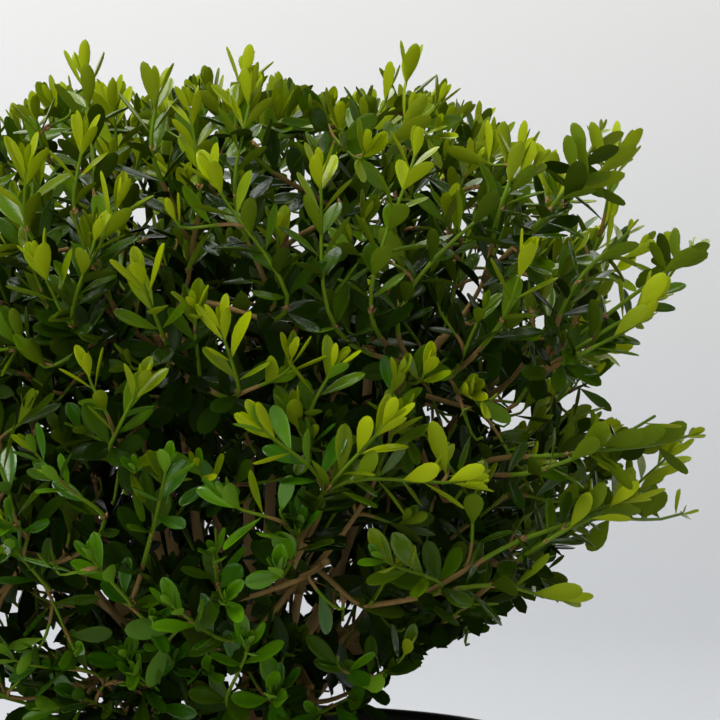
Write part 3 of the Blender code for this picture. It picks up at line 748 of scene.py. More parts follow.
def leaves_of(mass, shoot, key):
    """The leaves of one shoot as rows of numbers: opposite pairs, each crossing the one before."""
    kind, points = shoot["kind"], shoot["points"]
    rng = random.Random(f"{mass['name']}-{kind}-{key}")
    lengths = [(after - before).length for before, after in pairwise(points)]
    table = np.concatenate([[0.0], np.cumsum(lengths)])
    total = table[-1]
    leafy = min(LEAFY_RUN[kind] * rng.uniform(*LEAFY_SPREAD), total * LEAFY_MOST)
    if leafy <= 0.0:
        return []
    nodes = list_nodes(total, leafy, rng)
    roll = rng.uniform(0.0, math.pi)
    length = rng.uniform(*LEAF_LENGTH)
    rise = ramp(points[-1].z, CROWN_FLOOR, 2 * CROWN_HALF_HEIGHT)
    width = rng.uniform(*LEAF_WIDTH) + LOW_WIDTH * (1.0 - rise)
    young = rng.uniform(0.0, 1.0)
    shoot_tone = shoot.get("tone", min(TONE_MOST, rng.gauss(0.0, TONE_SPREAD)))
    far = reach((points[-1] - FAN).normalized())
    rows = []
    for node, (run, size, spread) in enumerate(nodes):
        root, heading = at_length(points, table, run)
        across = heading.orthogonal().normalized()
        age = ramp(total - run, 0.0, AGE_RUN)
        on_carrier = total - run >= shoot.get("leafy", total)
        tone = min(shoot_tone, CARRIER_TONE) if on_carrier else shoot_tone
        for half in range(2):
            turn = roll + math.pi / 2 * node + math.pi * half + rng.uniform(-PAIR_JITTER, PAIR_JITTER)
            side = Matrix.Rotation(turn, 3, heading) @ across
            turned = spread + rng.uniform(-SPREAD_JITTER, SPREAD_JITTER)
            along, cross, upper = leaf_axes(root, heading, side, turned, rng)
            own = length * size * rng.uniform(*LENGTH_SPREAD)
            own *= INNER_SIZE if shoot["depth"] < INNER_DEPTH else 1.0
            tip = root + along * own
            if tip.z < CROWN_FLOOR or math.hypot(tip.x, tip.y) > CROWN_WIDEST + WIDEST_SLACK:
                continue
            if past_outline(*tip) > OUTLINE_SLACK[kind]:
                continue
            own_width = own * width * (YOUNG_WIDTH + AGE_WIDTH * age)
            fold = (YOUNG_FOLD[0] + YOUNG_FOLD[1] * young) * (1.0 - age) + rng.uniform(*OLD_FOLD) * age
            curl = rng.uniform(*YOUNG_CURL) * (1.0 - age) + rng.uniform(*OLD_CURL) * age
            bend = rng.gauss(0.0, BEND_SPREAD)
            depth = (tip - FAN).length / far
            own_tone = rng.gauss(0.0, OWN_TONE_SPREAD)
            rows.append(
                (*root, *along, *cross, *upper, own, own_width, fold, curl, bend, depth, age, tone, own_tone)
            )
    return rows


# The darker colours are painted shade on leaves deep in the crown, and the lighter and lime ones painted
# light on leaves at the top and outside, lime standing in for sun shining through them.
SHADES = {  # display colours of the upper side and of the back, and the upper side's specular level
    "dark": ((31, 53, 3), (33, 46, 3), 0.08),
    "deep": ((54, 82, 3), (58, 76, 3), 0.16),
    "mid": ((76, 106, 2), (94, 116, 6), 0.24),
    "bright": ((109, 131, 3), (124, 141, 8), 0.26),
    "lime": ((148, 166, 5), (154, 170, 10), 0.22),
    "moss": ((52, 98, 5), (66, 102, 8), 0.44),
    "grass": ((79, 126, 7), (97, 137, 12), 0.46),
}
PURER = {"mid": "moss", "bright": "grass", "lime": "grass"}  # what leaves low down have instead
# Painted light and shade: by the next numbers a leaf's colour is lighter high up, far out from the middle,
# further out low down and low on the right, as the lamps would light it, and stays dark deep in the crown.
PAINTED_LIGHT_HEIGHT = (0.21, 0.28)  # where the light starts to grow, and the run on which it does
PAINTED_LIGHT_DEPTH = (0.66, 0.38)
PAINTED_LIGHT_RIGHT = (0.05, 0.06)
OUTER_PAINTED_LIGHT = 1.22
HIGH_PAINTED_LIGHT = 0.44
HIGH_POWER = 1.6
LOW_OUTER_PAINTED_LIGHT = 0.16
RIGHT_PAINTED_LIGHT = 0.20
# Old leaves are darker in their own colour; high up they darken more, as painted shade between the shoots.
AGE_SHADE = 0.38
HIGH_AGE_PAINTED_SHADE = 0.24
SHADE_STEPS = (0.50, 0.80, 1.10, 1.36)  # light at which the next colour starts
GREEN_HEIGHT = 0.40  # of the run of height, under which leaves are a purer green
GREEN_SIDE = 0.060  # but not to the right of this X
GREEN_TONE = 0.28  # nor on shoots lighter than this


def shade_of(rows):
    """Which of SHADES each leaf has: by its depth, height and age, and the tone of shoot and leaf; depth,
    height and side paint light and shade into it, lighter at the top and outside, darker deep in the crown.
    """
    x, z = rows[:, 0], rows[:, 2]
    age, tone, own = rows[:, AGE], rows[:, TONE], rows[:, OWN_TONE]
    height = ramp(z, *PAINTED_LIGHT_HEIGHT)
    out = ramp(rows[:, DEPTH], *PAINTED_LIGHT_DEPTH)
    right = ramp(x, *PAINTED_LIGHT_RIGHT) * (1.0 - height)
    # Painted light: lighter far out, high up, low on the outside and low on the right; painted shade deep
    # inside and, for old leaves, high up.
    light = OUTER_PAINTED_LIGHT * out + HIGH_PAINTED_LIGHT * height**HIGH_POWER
    light = light + LOW_OUTER_PAINTED_LIGHT * out * (1.0 - height) + RIGHT_PAINTED_LIGHT * right
    light = light * (1.0 - (AGE_SHADE + HIGH_AGE_PAINTED_SHADE * height) * age) + tone + own
    shades = np.digitize(light, SHADE_STEPS)
    green = (height + own < GREEN_HEIGHT) & (x < GREEN_SIDE) & (tone < GREEN_TONE)
    names = list(SHADES)
    for usual, purer in PURER.items():
        shades[green & (shades == names.index(usual))] = names.index(purer)
    return shades


def leaf_mesh(rows, template, slots, back_step):
    """Points, faces, material slots and margin flags of many leaves from one template."""
    form, front, back, margin = template
    count, size = len(rows), len(form)
    along, place, width, height, layer = form.T[:, None, :]
    length, fold, curl, bend = (rows[:, column, None] for column in (LENGTH, FOLD, CURL, BEND))
    half = rows[:, WIDTH, None] / 2
    y = place * width * half
    z = np.abs(y) * np.tan(fold) + height * width * half
    z = z + layer * LEAF_THICK * length
    y = y + bend * along**2 * length
    arc = along**2 * length
    z = z + curl * arc
    x = along * length - 0.5 * curl**2 * arc
    axes = rows[:, 3:12].reshape(count, 3, 3)
    points = np.einsum("nvk,nkc->nvc", np.stack([x, y, z], axis=2), axes) + rows[:, None, :3]
    triangles = np.concatenate([front, back])
    faces = (triangles[None] + (np.arange(count) * size)[:, None, None]).reshape(-1, 3)
    face_slots = slots[:, None] + back_step * (np.arange(len(triangles)) >= len(front))
    on_margin = np.tile(np.isin(np.arange(size), margin), count)
    return points.reshape(-1, 3), faces, face_slots.ravel(), on_margin


# ---------------------------------------------------------------- meshes and tubes

BARK_GRAIN = ((1.6, 110.0, 1.0), (3.7, 420.0, 0.5))  # scale round the tube and per metre along it, share
FORK_RUN = 0.008  # over which a fork's swelling dies away
TUBE_CAP = 0.6  # height of the end cap, in radii


def add_object(name, data):
    item = bpy.data.objects.new(name, data)
    bpy.context.scene.collection.objects.link(item)
    return item


def joined(parts):
    """One array each of the points, the faces and whatever else the parts have."""
    moved = []
    offset = 0
    for points, faces, *more in parts:
        moved.append((points, faces + offset, *more))
        offset += len(points)
    return [np.concatenate(column) for column in zip(*moved)]


def mesh_object(name, materials, points, faces, slots, sharp_points=None):
    mesh = bpy.data.meshes.new(name)
    mesh.from_pydata(points.tolist(), [], faces.tolist(), shade_flat=False)
    for material in materials:
        mesh.materials.append(material)
    mesh.polygons.foreach_set("material_index", slots.tolist())
    if sharp_points is not None:
        ends = np.zeros(len(mesh.edges) * 2, np.int32)
        mesh.edges.foreach_get("vertices", ends)
        sharp = sharp_points[ends[0::2]] & sharp_points[ends[1::2]]
        mesh.attributes.new("sharp_edge", "BOOLEAN", "EDGE").data.foreach_set("value", sharp)
    mesh.update()
    return add_object(name, mesh)


def grain(angle, run, seed):
    """Height of the bark's relief at a place round a tube and along it."""
    height = 0.0
    for around, along, share in BARK_GRAIN:
        spot = Vector((math.cos(angle) * around, math.sin(angle) * around, run * along + seed))
        height += share * noise.noise(spot)
    return height


def tube(points, radii, sides, flare=0.0, rough=0.0, seed=0.0):
    """A closed tapering tube: vertices and triangles, with optional fork swelling and bark relief."""
    centres = np.array([tuple(point) for point in points])
    count = len(centres)
    steps = np.diff(centres, axis=0)
    lengths = np.linalg.norm(steps, axis=1)
    headings = steps / lengths[:, None]
    tangents = np.vstack([headings[:1], (headings[:-1] + headings[1:]) / 2, headings[-1:]])
    tangents /= np.linalg.norm(tangents, axis=1)[:, None]
    side = np.array(Vector(tangents[0]).orthogonal().normalized())
    runs = np.concatenate([[0.0], np.cumsum(lengths)])
    angles = np.arange(sides) * (2 * math.pi / sides)
    rings = []
    for centre, tangent, size, run in zip(centres, tangents, radii, runs):
        side = side - tangent * side.dot(tangent)
        side /= np.linalg.norm(side)
        other = np.cross(tangent, side)
        radius = np.full(sides, size * (1.0 + flare * math.exp(-run / FORK_RUN)))
        if rough:
            radius *= [1.0 + rough * grain(angle, run, seed) for angle in angles]
        ring = centre + (np.cos(angles)[:, None] * side + np.sin(angles)[:, None] * other) * radius[:, None]
        rings.append(ring)
    vertices = np.vstack([*rings, centres[:1], centres[-1:] + tangents[-1] * radii[-1] * TUBE_CAP])
    foot, top, last = count * sides, count * sides + 1, (count - 1) * sides
    wall, caps = [], []
    for a, b in ((corner, (corner + 1) % sides) for corner in range(sides)):
        wall += [(a, b, b + sides), (a, b + sides, a + sides)]
        caps += [(foot, b, a), (top, last + a, last + b)]
    return vertices, np.vstack([*(np.array(wall) + start for start in range(0, last, sides)), caps])


# ---------------------------------------------------------------- materials

LEAF_FINISH = (0.18, 0.05, 900.0, 0.2)  # roughness and so on, as in SURFACES
BACK_FINISH = (0.62, 0.05, 900.0, 0.2)
CHIP_FINISH = (0.90, 0.06, 1500.0, 0.6, 0.20)
SURFACES = {  # display colour, roughness, its spread, grain per metre, relief, specular level
    "wood_old": ((172, 142, 92), 0.82, 0.10, 700.0, 0.7, 0.30),
    "wood_tan": ((136, 110, 62), 0.75, 0.10, 900.0, 0.5, 0.20),
    "bract_tan": ((168, 124, 84), 0.75, 0.10, 900.0, 0.5, 0.30),
    "shoot_green": ((94, 122, 14), 0.60, 0.08, 900.0, 0.3, 0.16),
    "pot_plastic": ((26, 26, 27), 0.46, 0.07, 1400.0, 0.12, 0.45),
    "compost_peat": ((44, 32, 24), 0.95, 0.04, 900.0, 1.0, 0.15),
    "backdrop_paper": ((203, 203, 203), 0.90, 0.05, 3.0, 0.02, 0.10),
}
RELIEF_HEIGHT = 0.0004
GRAIN_DETAIL = 3.0
POT_CLEAN = (25, 25, 26)
POT_DUST = (82, 72, 60)
DUST_PATCHES = {"Scale": 26.0, "Detail": 8.0, "Roughness": 0.62}
DUST_FOOT = {"From Min": 0.075, "From Max": 0.0, "To Min": 0.0, "To Max": 0.30}  # by height
DUST_SHARE = {"From Min": 0.55, "From Max": 0.95, "To Max": 0.5}
# Painted shade on the backdrop: the floor is darker and bluer than the paler wall, and fades into it up to
# the last height.
FLOOR_PAINTED_SHADE = (0.50, 0.515, 0.54)
WALL_TINT = (0.86, 0.86, 0.845)
SHADE_FADE_HEIGHT = 1.5


def srgb(*display):
    """Linear colour from 8-bit display values."""
    shares = [value / 255.0 for value in display]
    return [share / 12.92 if share <= 0.04045 else ((share + 0.055) / 1.055) ** 2.4 for share in shares]


def feed(material, node, inputs):
    """Sets inputs of a node to numbers and colours, and links those that get a socket."""
    for name, value in inputs.items():
        if isinstance(value, bpy.types.NodeSocket):
            material.node_tree.links.new(value, node.inputs[name])
        else:
            node.inputs[name].default_value = value
    return node


def add_node(material, kind, inputs, **settings):
    node = material.node_tree.nodes.new("ShaderNode" + kind)
    for name, value in settings.items():
        setattr(node, name, value)
    return feed(material, node, inputs)


def object_place(material):
    return add_node(material, "TexCoord", {}).outputs["Object"]


def height_share(material, limits):
    """A socket with the height above the ground, brought to a share by the limits of a map range."""
    split = add_node(material, "SeparateXYZ", {"Vector": object_place(material)})
    return add_node(material, "MapRange", {"Value": split.outputs["Z"], **limits}).outputs["Result"]


def mix_colours(material, first, second, factor):
    inputs = {"A": (*first, 1.0), "B": (*second, 1.0), "Factor": factor}
    tint = add_node(material, "Mix", inputs, data_type="RGBA")
    feed(material, material.node_tree.nodes["Principled BSDF"], {"Base Color": tint.outputs["Result"]})


def surface(name, colour, roughness, rough_spread, grain_scale, relief, specular):
    """A material of one plain colour, with noise on its roughness and relief."""
    material = bpy.data.materials.new(name)
    material.use_nodes = True
    shader = material.node_tree.nodes["Principled BSDF"]
    shader.inputs["Roughness"].default_value = roughness
    size = {"Vector": object_place(material), "Scale": grain_scale, "Detail": GRAIN_DETAIL}
    pattern = add_node(material, "TexNoise", size).outputs["Fac"]
    limits = {"Value": pattern, "To Min": roughness - rough_spread, "To Max": roughness + rough_spread}
    spread = add_node(material, "MapRange", limits)
    bump_map = add_node(material, "Bump", {"Height": pattern, "Strength": relief, "Distance": RELIEF_HEIGHT})
    feed(material, shader, {"Base Color": (*srgb(*colour), 1.0), "Specular IOR Level": specular})
    feed(material, shader, {"Roughness": spread.outputs["Result"], "Normal": bump_map.outputs["Normal"]})
    return material


def pot_material():
    """Black moulded plastic: a faint grain, and a film of compost dust low down and in patches."""
    material = surface("pot_plastic", *SURFACES["pot_plastic"])
    film = add_node(material, "TexNoise", {"Vector": object_place(material), **DUST_PATCHES})
    low = height_share(material, DUST_FOOT)
    dust = add_node(material, "Math", {0: film.outputs["Fac"], 1: low}, operation="ADD")
    share = add_node(material, "MapRange", {"Value": dust.outputs["Value"], **DUST_SHARE})
    mix_colours(material, srgb(*POT_CLEAN), srgb(*POT_DUST), share.outputs["Result"])
    return material


def paper():
    """Matt paper with painted shade: darker and bluer on the floor, paling up the wall into which the floor
    melts.
    """
    material = surface("backdrop_paper", *SURFACES["backdrop_paper"])
    mix_colours(material, FLOOR_PAINTED_SHADE, WALL_TINT, height_share(material, {"From Max": SHADE_FADE_HEIGHT}))
    return material


leaf_materials = [surface("leaf_" + name, row[0], *LEAF_FINISH, row[2]) for name, row in SHADES.items()]
for name, (_, back_colour, specular) in SHADES.items():
    leaf_materials.append(surface("leaf_back_" + name, back_colour, *BACK_FINISH, specular / 2))

# ---------------------------------------------------------------- build the plant

LEAF_MARGIN = 0.0015  # between leaves and boughs
MARGIN_SHARES = (0.35, 0.65, 1.0)  # places along a leaf from which that is measured
LEAF_PIECES = {  # the rings or masses whose leaves make one piece
    "upper": ("cap", "upper"),
    "shoulder_a": ("shoulder_1", "shoulder_2", "shoulder_3", "shoulder_4"),
    "shoulder_b": ("shoulder_5", "shoulder_6", "shoulder_7"),
    "waist_a": ("waist_1", "waist_2", "waist_3", "waist_4"),
    "waist_b": ("waist_5", "waist_6", "waist_7"),
    "skirt": ("skirt",),
}
BRACT_SHARE = {"shoot": 0.30, "placed": 1.0}  # of the shoots have a ring of dry scales at their foot
BRACTS = (4, 7)
BRACT_LENGTH = (0.0024, 0.0040)
BRACT_STATIONS = ((0.45, 1.0),)
BRACT_SLOT = 2  # of the twigs' materials
BRACT_FORM = (0.5, 0.4, 0.3, 0.0)  # width as a share of the length, fold, curl and bend
BRACT_TURN = 0.4
BRACT_SPREAD = (0.5, 1.5)
BRACT_SHIFT = 0.0012  # along the shoot
SHOOT_FORMS = {  # radius at the foot and at the tip, sides, and how many thirds of it are woody
    "stem": (0.0019, 0.0014, 6, 3),
    "twig": (0.0013, 0.0006, 5, 2),
    "placed": (0.0012, 0.0006, 5, 1),
    "shoot": (0.00085, 0.0005, 5, 1),
}
TRUNK_SUNK = 0.006  # how far the drawn trunk goes on into the compost
TRUNK_SUNK_RADIUS = 0.0150
TRUNK_STEPS = 6
TRUNK_SIDES = 28
TRUNK_ROUGH = 0.16
TRUNK_SEED = 3.0
BARK_STEPS = 34
BARK_SIDES = 12
BARK_ROUGH = 0.20
BARK_SEEDS = 7.3  # from one bough to the next
FORK_FLARE = 0.45


def clear_leaves(rows):
    """Which leaves keep off the boughs and leave the openings free."""
    root, along, length = rows[:, :3], rows[:, 3:6], rows[:, LENGTH]
    keep = np.ones(len(rows), bool)
    for share in MARGIN_SHARES:
        keep &= limb_clearance(root + along * (length * share)[:, None], limbs) > LEAF_MARGIN
    middle = root + along * (length / 2)[:, None]
    across, up = seen(*middle.T)
    for x, z, radius in WINDOWS:
        keep &= (middle[:, 1] > WINDOW_DEPTH) | (np.hypot(across - x, up - z) > radius)
    for radius, places in SKY_GAPS.items():
        for x, z in places:
            keep &= np.hypot(across - x, up - z) > radius
    return keep


def mass_leaves(mass, shoots):
    rows = np.array([row for key, shoot in enumerate(shoots) for row in leaves_of(mass, shoot, key)])
    return rows[clear_leaves(rows)]


def all_shoots(masses):
    return [shoot for _, _, shoots in masses for shoot in shoots]


def list_bracts(masses):
    """Rows of the dry scales at the feet of shoots, in the same form as leaves."""
    rng = random.Random("bracts")
    rows = []
    for shoot in all_shoots(masses):
        if shoot["kind"] not in BRACT_SHARE or rng.random() > BRACT_SHARE[shoot["kind"]]:
            continue
        at = FINE_STEPS if shoot["kind"] == "placed" else 1
        root = shoot["points"][at]
        heading = (shoot["points"][at + 1] - root).normalized()
        across = heading.orthogonal().normalized()
        count = rng.randint(*BRACTS)
        for scale in range(count):
            turn = math.tau * scale / count + rng.uniform(-BRACT_TURN, BRACT_TURN)
            side = Matrix.Rotation(turn, 3, heading) @ across
            along = (heading + side * rng.uniform(*BRACT_SPREAD)).normalized()
            upper = (heading - along * heading.dot(along)).normalized()
            length = rng.uniform(*BRACT_LENGTH)
            foot = root + heading * rng.uniform(-BRACT_SHIFT, BRACT_SHIFT)
            width, *form = BRACT_FORM
            rows.append((*foot, *along, *upper.cross(along), *upper, length, length * width, *form))
    return np.array(rows)


def twig_tubes(masses):
    """All stems, twigs and shoots as tubes, brown at the foot and green beyond."""
    tubes = []
    for shoot in all_shoots(masses):
        first, last, sides, woody = SHOOT_FORMS[shoot["kind"]]
        count = len(shoot["points"])
        points, faces = tube(shoot["points"], taper(first, last, count), sides)
        green_from = count * woody // 3 * 2 * sides
        tubes.append((points, faces, (np.arange(len(faces)) >= green_from).astype(int)))
    return tubes


def bark_tubes(limbs):
    """The trunk and the boughs as tubes with the relief of bark."""
    trunk = limbs["trunk"]
    spots = [Vector((0.0, 0.0, TRUNK_FOOT - TRUNK_SUNK)), *trunk["points"]]
    sizes = [TRUNK_SUNK_RADIUS, *trunk["radii"]]
    points, radii = [], []
    for (low, wide), (high, narrow) in pairwise(zip(spots, sizes)):
        for step in range(TRUNK_STEPS):
            points.append(low.lerp(high, step / TRUNK_STEPS))
            radii.append(wide + (narrow - wide) * step / TRUNK_STEPS)
    tubes = [tube([*points, spots[-1]], [*radii, sizes[-1]], TRUNK_SIDES, 0.0, TRUNK_ROUGH, TRUNK_SEED)]
    for number, bough in enumerate(list(limbs.values())[1:], 1):
        points = smooth_curve(*bough["guides"], BARK_STEPS)
        radii = taper(bough["radii"][0], bough["radii"][-1], len(points))
        tubes.append(tube(points, radii, BARK_SIDES, FORK_FLARE, BARK_ROUGH, number * BARK_SEEDS))
    return tubes


limbs = list_limbs()
targets = list_targets()
masses = [grow_mass(index, limbs, targets) for index in range(len(MASSES))]
placed = list_placed()
grow_placed(masses, placed)
grow_fine(masses, fine_targets(), placed)

outer_leaf = leaf_template(LEAF_STATIONS, LEAF_ACROSS)
inner_leaf = leaf_template(PLAIN_STATIONS, PLAIN_ACROSS)
leaf_rows = {mass["name"]: mass_leaves(mass, shoots) for mass, _, shoots in masses}
for piece, members in LEAF_PIECES.items():
    names = [mass["name"] for mass in MASSES if mass["name"] in members or mass["ring"] in members]
    rows = np.vstack([leaf_rows[name] for name in names])
    outer = rows[:, DEPTH] >= INNER_DEPTH
    parts = [
        leaf_mesh(some, template, shade_of(some), len(SHADES))
        for some, template in ((rows[outer], outer_leaf), (rows[~outer], inner_leaf))
    ]
    leaves = mesh_object("leaves_" + piece, leaf_materials, *joined(parts))
    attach(leaves, "root")
    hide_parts(*("foliage_" + name for name in names))

scales = list_bracts(masses)
bracts = leaf_mesh(scales, leaf_template(BRACT_STATIONS, PLAIN_ACROSS), np.full(len(scales), BRACT_SLOT), 0)
twig_materials = [surface(name, *SURFACES[name]) for name in ("wood_tan", "shoot_green", "bract_tan")]
twigs = mesh_object("twigs", twig_materials, *joined([*twig_tubes(masses), bracts[:3]]))
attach(twigs, "root")

points, faces = joined(bark_tubes(limbs))
slots = np.zeros(len(faces), int)
bark = mesh_object("bark", [surface("wood_old", *SURFACES["wood_old"])], points, faces, slots)
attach(bark, "root")
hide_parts(*limbs)

# ---------------------------------------------------------------- pot and compost

POT_HEIGHT = 0.200
POT_RIM_RADIUS = 0.120
POT_BAND_DEPTH = 0.014  # the stiff band under the rim
POT_BAND_STEP = 0.0035  # how far that band stands out from the wall
POT_FOOT_RADIUS = 0.089
POT_WALL = 0.0018
POT_BASE = 0.0025
POT_SIDES = 168
POT_RING = 0.148  # height of the raised ring
POT_STEP = 0.020  # height of the step above the foot
FILLET_STEPS = 5
FILLET_MOST = 0.49  # of the way to the next corner
SHARP_ANGLE = 48.0
DRAIN_HOLES = 8
DRAIN_RADIUS = 0.0055
DRAIN_CIRCLE = 0.070
DRAIN_SIDES = 40

COMPOST_TOP = 0.184
COMPOST_SIDES = 150
COMPOST_RINGS = 52
COMPOST_EDGE = 0.0035  # how far under the top it meets the wall
COMPOST_GAP = 0.0006  # to the wall
COMPOST_FOOT_GAP = 0.0004
COMPOST_HEIGHTS = (0.150, 0.080)  # of the rings between its top and its foot
COMPOST_GRAIN = ((95.0, 1.7, 0.0011), (260.0, 5.1, 0.0009), (700.0, 9.4, 0.0005))  # scale, layer, height
COMPOST_FLAT = 0.030  # radius of the level patch round the trunk
COMPOST_FALL = 0.0032  # how much lower it lies at the wall
COMPOST_FALL_RUN = 0.084
COMPOST_MOUND = 0.0012
COMPOST_MOUND_RADIUS = 0.020
COMPOST_SETTLE = 0.0003
CHIPS = 2300
CHIP_EDGE = 0.112
CHIP_INNER = 0.0125  # none lie nearer to the trunk's axis
CHIP_OUTER = 0.1128
CHIP_SMALL = (0.0008, 0.0022)
CHIP_LARGE = (0.0022, 0.0045)
CHIP_SMALL_SHARE = 0.85
CHIP_WIDE = (0.35, 0.8)  # of the length
CHIP_HIGH = (0.18, 0.5)
CHIP_JAG = 0.22
CHIP_TILT = 0.35
CHIP_RISE = 0.35  # of its height, how far a chip's middle lies above the compost
CHIP_COLOURS = ((38, 27, 20), (62, 44, 30), (92, 68, 46), (128, 100, 70))
CHIP_ODDS = (5, 4, 2, 1)  # of the four colours


def inner_wall(height):
    slope = (POT_RIM_RADIUS - POT_BAND_STEP - POT_FOOT_RADIUS) / (POT_HEIGHT - POT_BAND_DEPTH)
    return POT_FOOT_RADIUS - POT_WALL + slope * height


def outer_wall(height):
    return inner_wall(height) + POT_WALL


def rounded(corners):
    """The points of a profile's corners, but for its ends: each corner is radius, height and fillet."""
    points = []
    for before, (radius, height, fillet), after in zip(corners, corners[1:], corners[2:]):
        here = Vector((radius, height))
        back, on = Vector(before[:2]) - here, Vector(after[:2]) - here
        cut = min(fillet, back.length * FILLET_MOST, on.length * FILLET_MOST)
        first = here + back.normalized() * cut
        last = here + on.normalized() * cut
        for step in range(FILLET_STEPS + 1):
            t = step / FILLET_STEPS
            points.append(tuple(first * (1 - t) ** 2 + here * (2 * t * (1 - t)) + last * t**2))
    return points


def circle(radius, sides):
    turns = [math.tau * corner / sides for corner in range(sides)]
    return [(radius * math.cos(turn), radius * math.sin(turn)) for turn in turns]


def bmesh_object(name, form):
    mesh = bpy.data.meshes.new(name)
    form.to_mesh(mesh)
    form.free()
    return add_object(name, mesh)


def ring_body(name, rings):
    """A closed body through rings of points, the first and the last of them one point on the axis."""
    form = bmesh.new()
    rings = [[form.verts.new(point) for point in ring] for ring in rings]
    sides = len(rings[1])
    for low, high in pairwise(rings):
        for a, b in ((corner, (corner + 1) % sides) for corner in range(sides)):
            quad = low[a % len(low)], low[b % len(low)], high[b % len(high)], high[a % len(high)]
            form.faces.new(list(dict.fromkeys(quad)))
    bmesh.ops.recalc_face_normals(form, faces=form.faces)
    return bmesh_object(name, form)


def drain(pot):
    """Cuts the drain holes into the pot's base."""
    cutters = bpy.data.collections.new("drain_cutters")
    for x, y in circle(DRAIN_CIRCLE, 2 * DRAIN_HOLES)[1::2]:
        form = bmesh.new()
        bmesh.ops.create_cone(
            form, cap_ends=True, segments=DRAIN_SIDES, radius1=DRAIN_RADIUS, radius2=DRAIN_RADIUS,
            depth=4 * POT_BASE, matrix=Matrix.Translation((x, y, 0.0)),
        )
        cutters.objects.link(bmesh_object("drain_cutter", form))
    cut = pot.modifiers.new("drain", "BOOLEAN")
    cut.operation = "DIFFERENCE"
    cut.solver = "EXACT"
    cut.operand_type = "COLLECTION"
    cut.collection = cutters
    pot.data = bpy.data.meshes.new_from_object(pot.evaluated_get(bpy.context.evaluated_depsgraph_get()))
    pot.modifiers.clear()
    for cutter in list(cutters.objects):
        bpy.data.objects.remove(cutter)
    bpy.data.collections.remove(cutters)


def make_pot():
    top, band, rim = POT_HEIGHT, POT_HEIGHT - POT_BAND_DEPTH, POT_RIM_RADIUS
    ring, step = POT_RING, POT_STEP
    corners = (  # radius, height and fillet, from inside the base over the rim to under it
        (0.0, POT_BASE, 0.0),
        (inner_wall(POT_BASE), POT_BASE, 0.0015),
        (inner_wall(band - 0.004), band - 0.004, 0.002),
        (rim - 0.0036, band + 0.0030, 0.0012),
        (rim - 0.0024, top - 0.0030, 0.001),
        (rim - 0.0034, top, 0.0016),
        (rim, top, 0.0016),
        (rim, top - 0.0040, 0.0014),
        (rim - 0.0010, top - 0.0048, 0.0006),
        (rim - 0.0012, band, 0.0009),
        (rim - POT_BAND_STEP + 0.0002, band, 0.0006),
        (outer_wall(ring + 0.0018), ring + 0.0018, 0.0004),
        (outer_wall(ring) + 0.0009, ring + 0.0008, 0.0005),
        (outer_wall(ring) + 0.0009, ring - 0.0008, 0.0005),
        (outer_wall(ring - 0.0018), ring - 0.0018, 0.0004),
        (outer_wall(step + 0.0010), step + 0.0010, 0.0006),
        (outer_wall(step) - 0.0012, step, 0.0006),
        (POT_FOOT_RADIUS - 0.0006, 0.0030, 0.0010),
        (POT_FOOT_RADIUS - 0.0030, 0.0, 0.0016),
        (0.0, 0.0, 0.0),
    )
    middle = [[(x, y, height) for x, y in circle(radius, POT_SIDES)] for radius, height in rounded(corners)]
    pot = ring_body("nursery_pot", [[(0.0, 0.0, POT_BASE)], *middle, [(0.0, 0.0, 0.0)]])
    drain(pot)
    pot.data.shade_smooth()
    pot.data.set_sharp_from_angle(angle=math.radians(SHARP_ANGLE))
    return pot


def compost_height(x, y):
    """The compost's surface: a low mound at the trunk, a little lower at the wall, with crumbs."""
    away = math.hypot(x, y)
    height = COMPOST_TOP - COMPOST_FALL * ramp(away, COMPOST_FLAT, COMPOST_FALL_RUN)
    height += COMPOST_MOUND * math.exp(-((away / COMPOST_MOUND_RADIUS) ** 2))
    rough = 0.0
    for scale, layer, high in COMPOST_GRAIN:
        rough += noise.noise(Vector((x * scale, y * scale, layer))) * high
    return height + rough - COMPOST_SETTLE


def make_compost():
    edge = inner_wall(COMPOST_TOP - COMPOST_EDGE) - COMPOST_GAP
    foot = POT_BASE + COMPOST_FOOT_GAP
    rings = [[(0.0, 0.0, compost_height(0.0, 0.0))]]
    for ring in range(1, COMPOST_RINGS + 1):
        places = circle(edge * ring / COMPOST_RINGS, COMPOST_SIDES)
        rings.append([(x, y, compost_height(x, y)) for x, y in places])
    for height in (*COMPOST_HEIGHTS, foot):
        places = circle(inner_wall(height) - COMPOST_GAP, COMPOST_SIDES)
        rings.append([(x, y, height) for x, y in places])
    compost = ring_body("compost_bed", [*rings, [(0.0, 0.0, foot)]])
    compost.data.shade_smooth()
    return compost


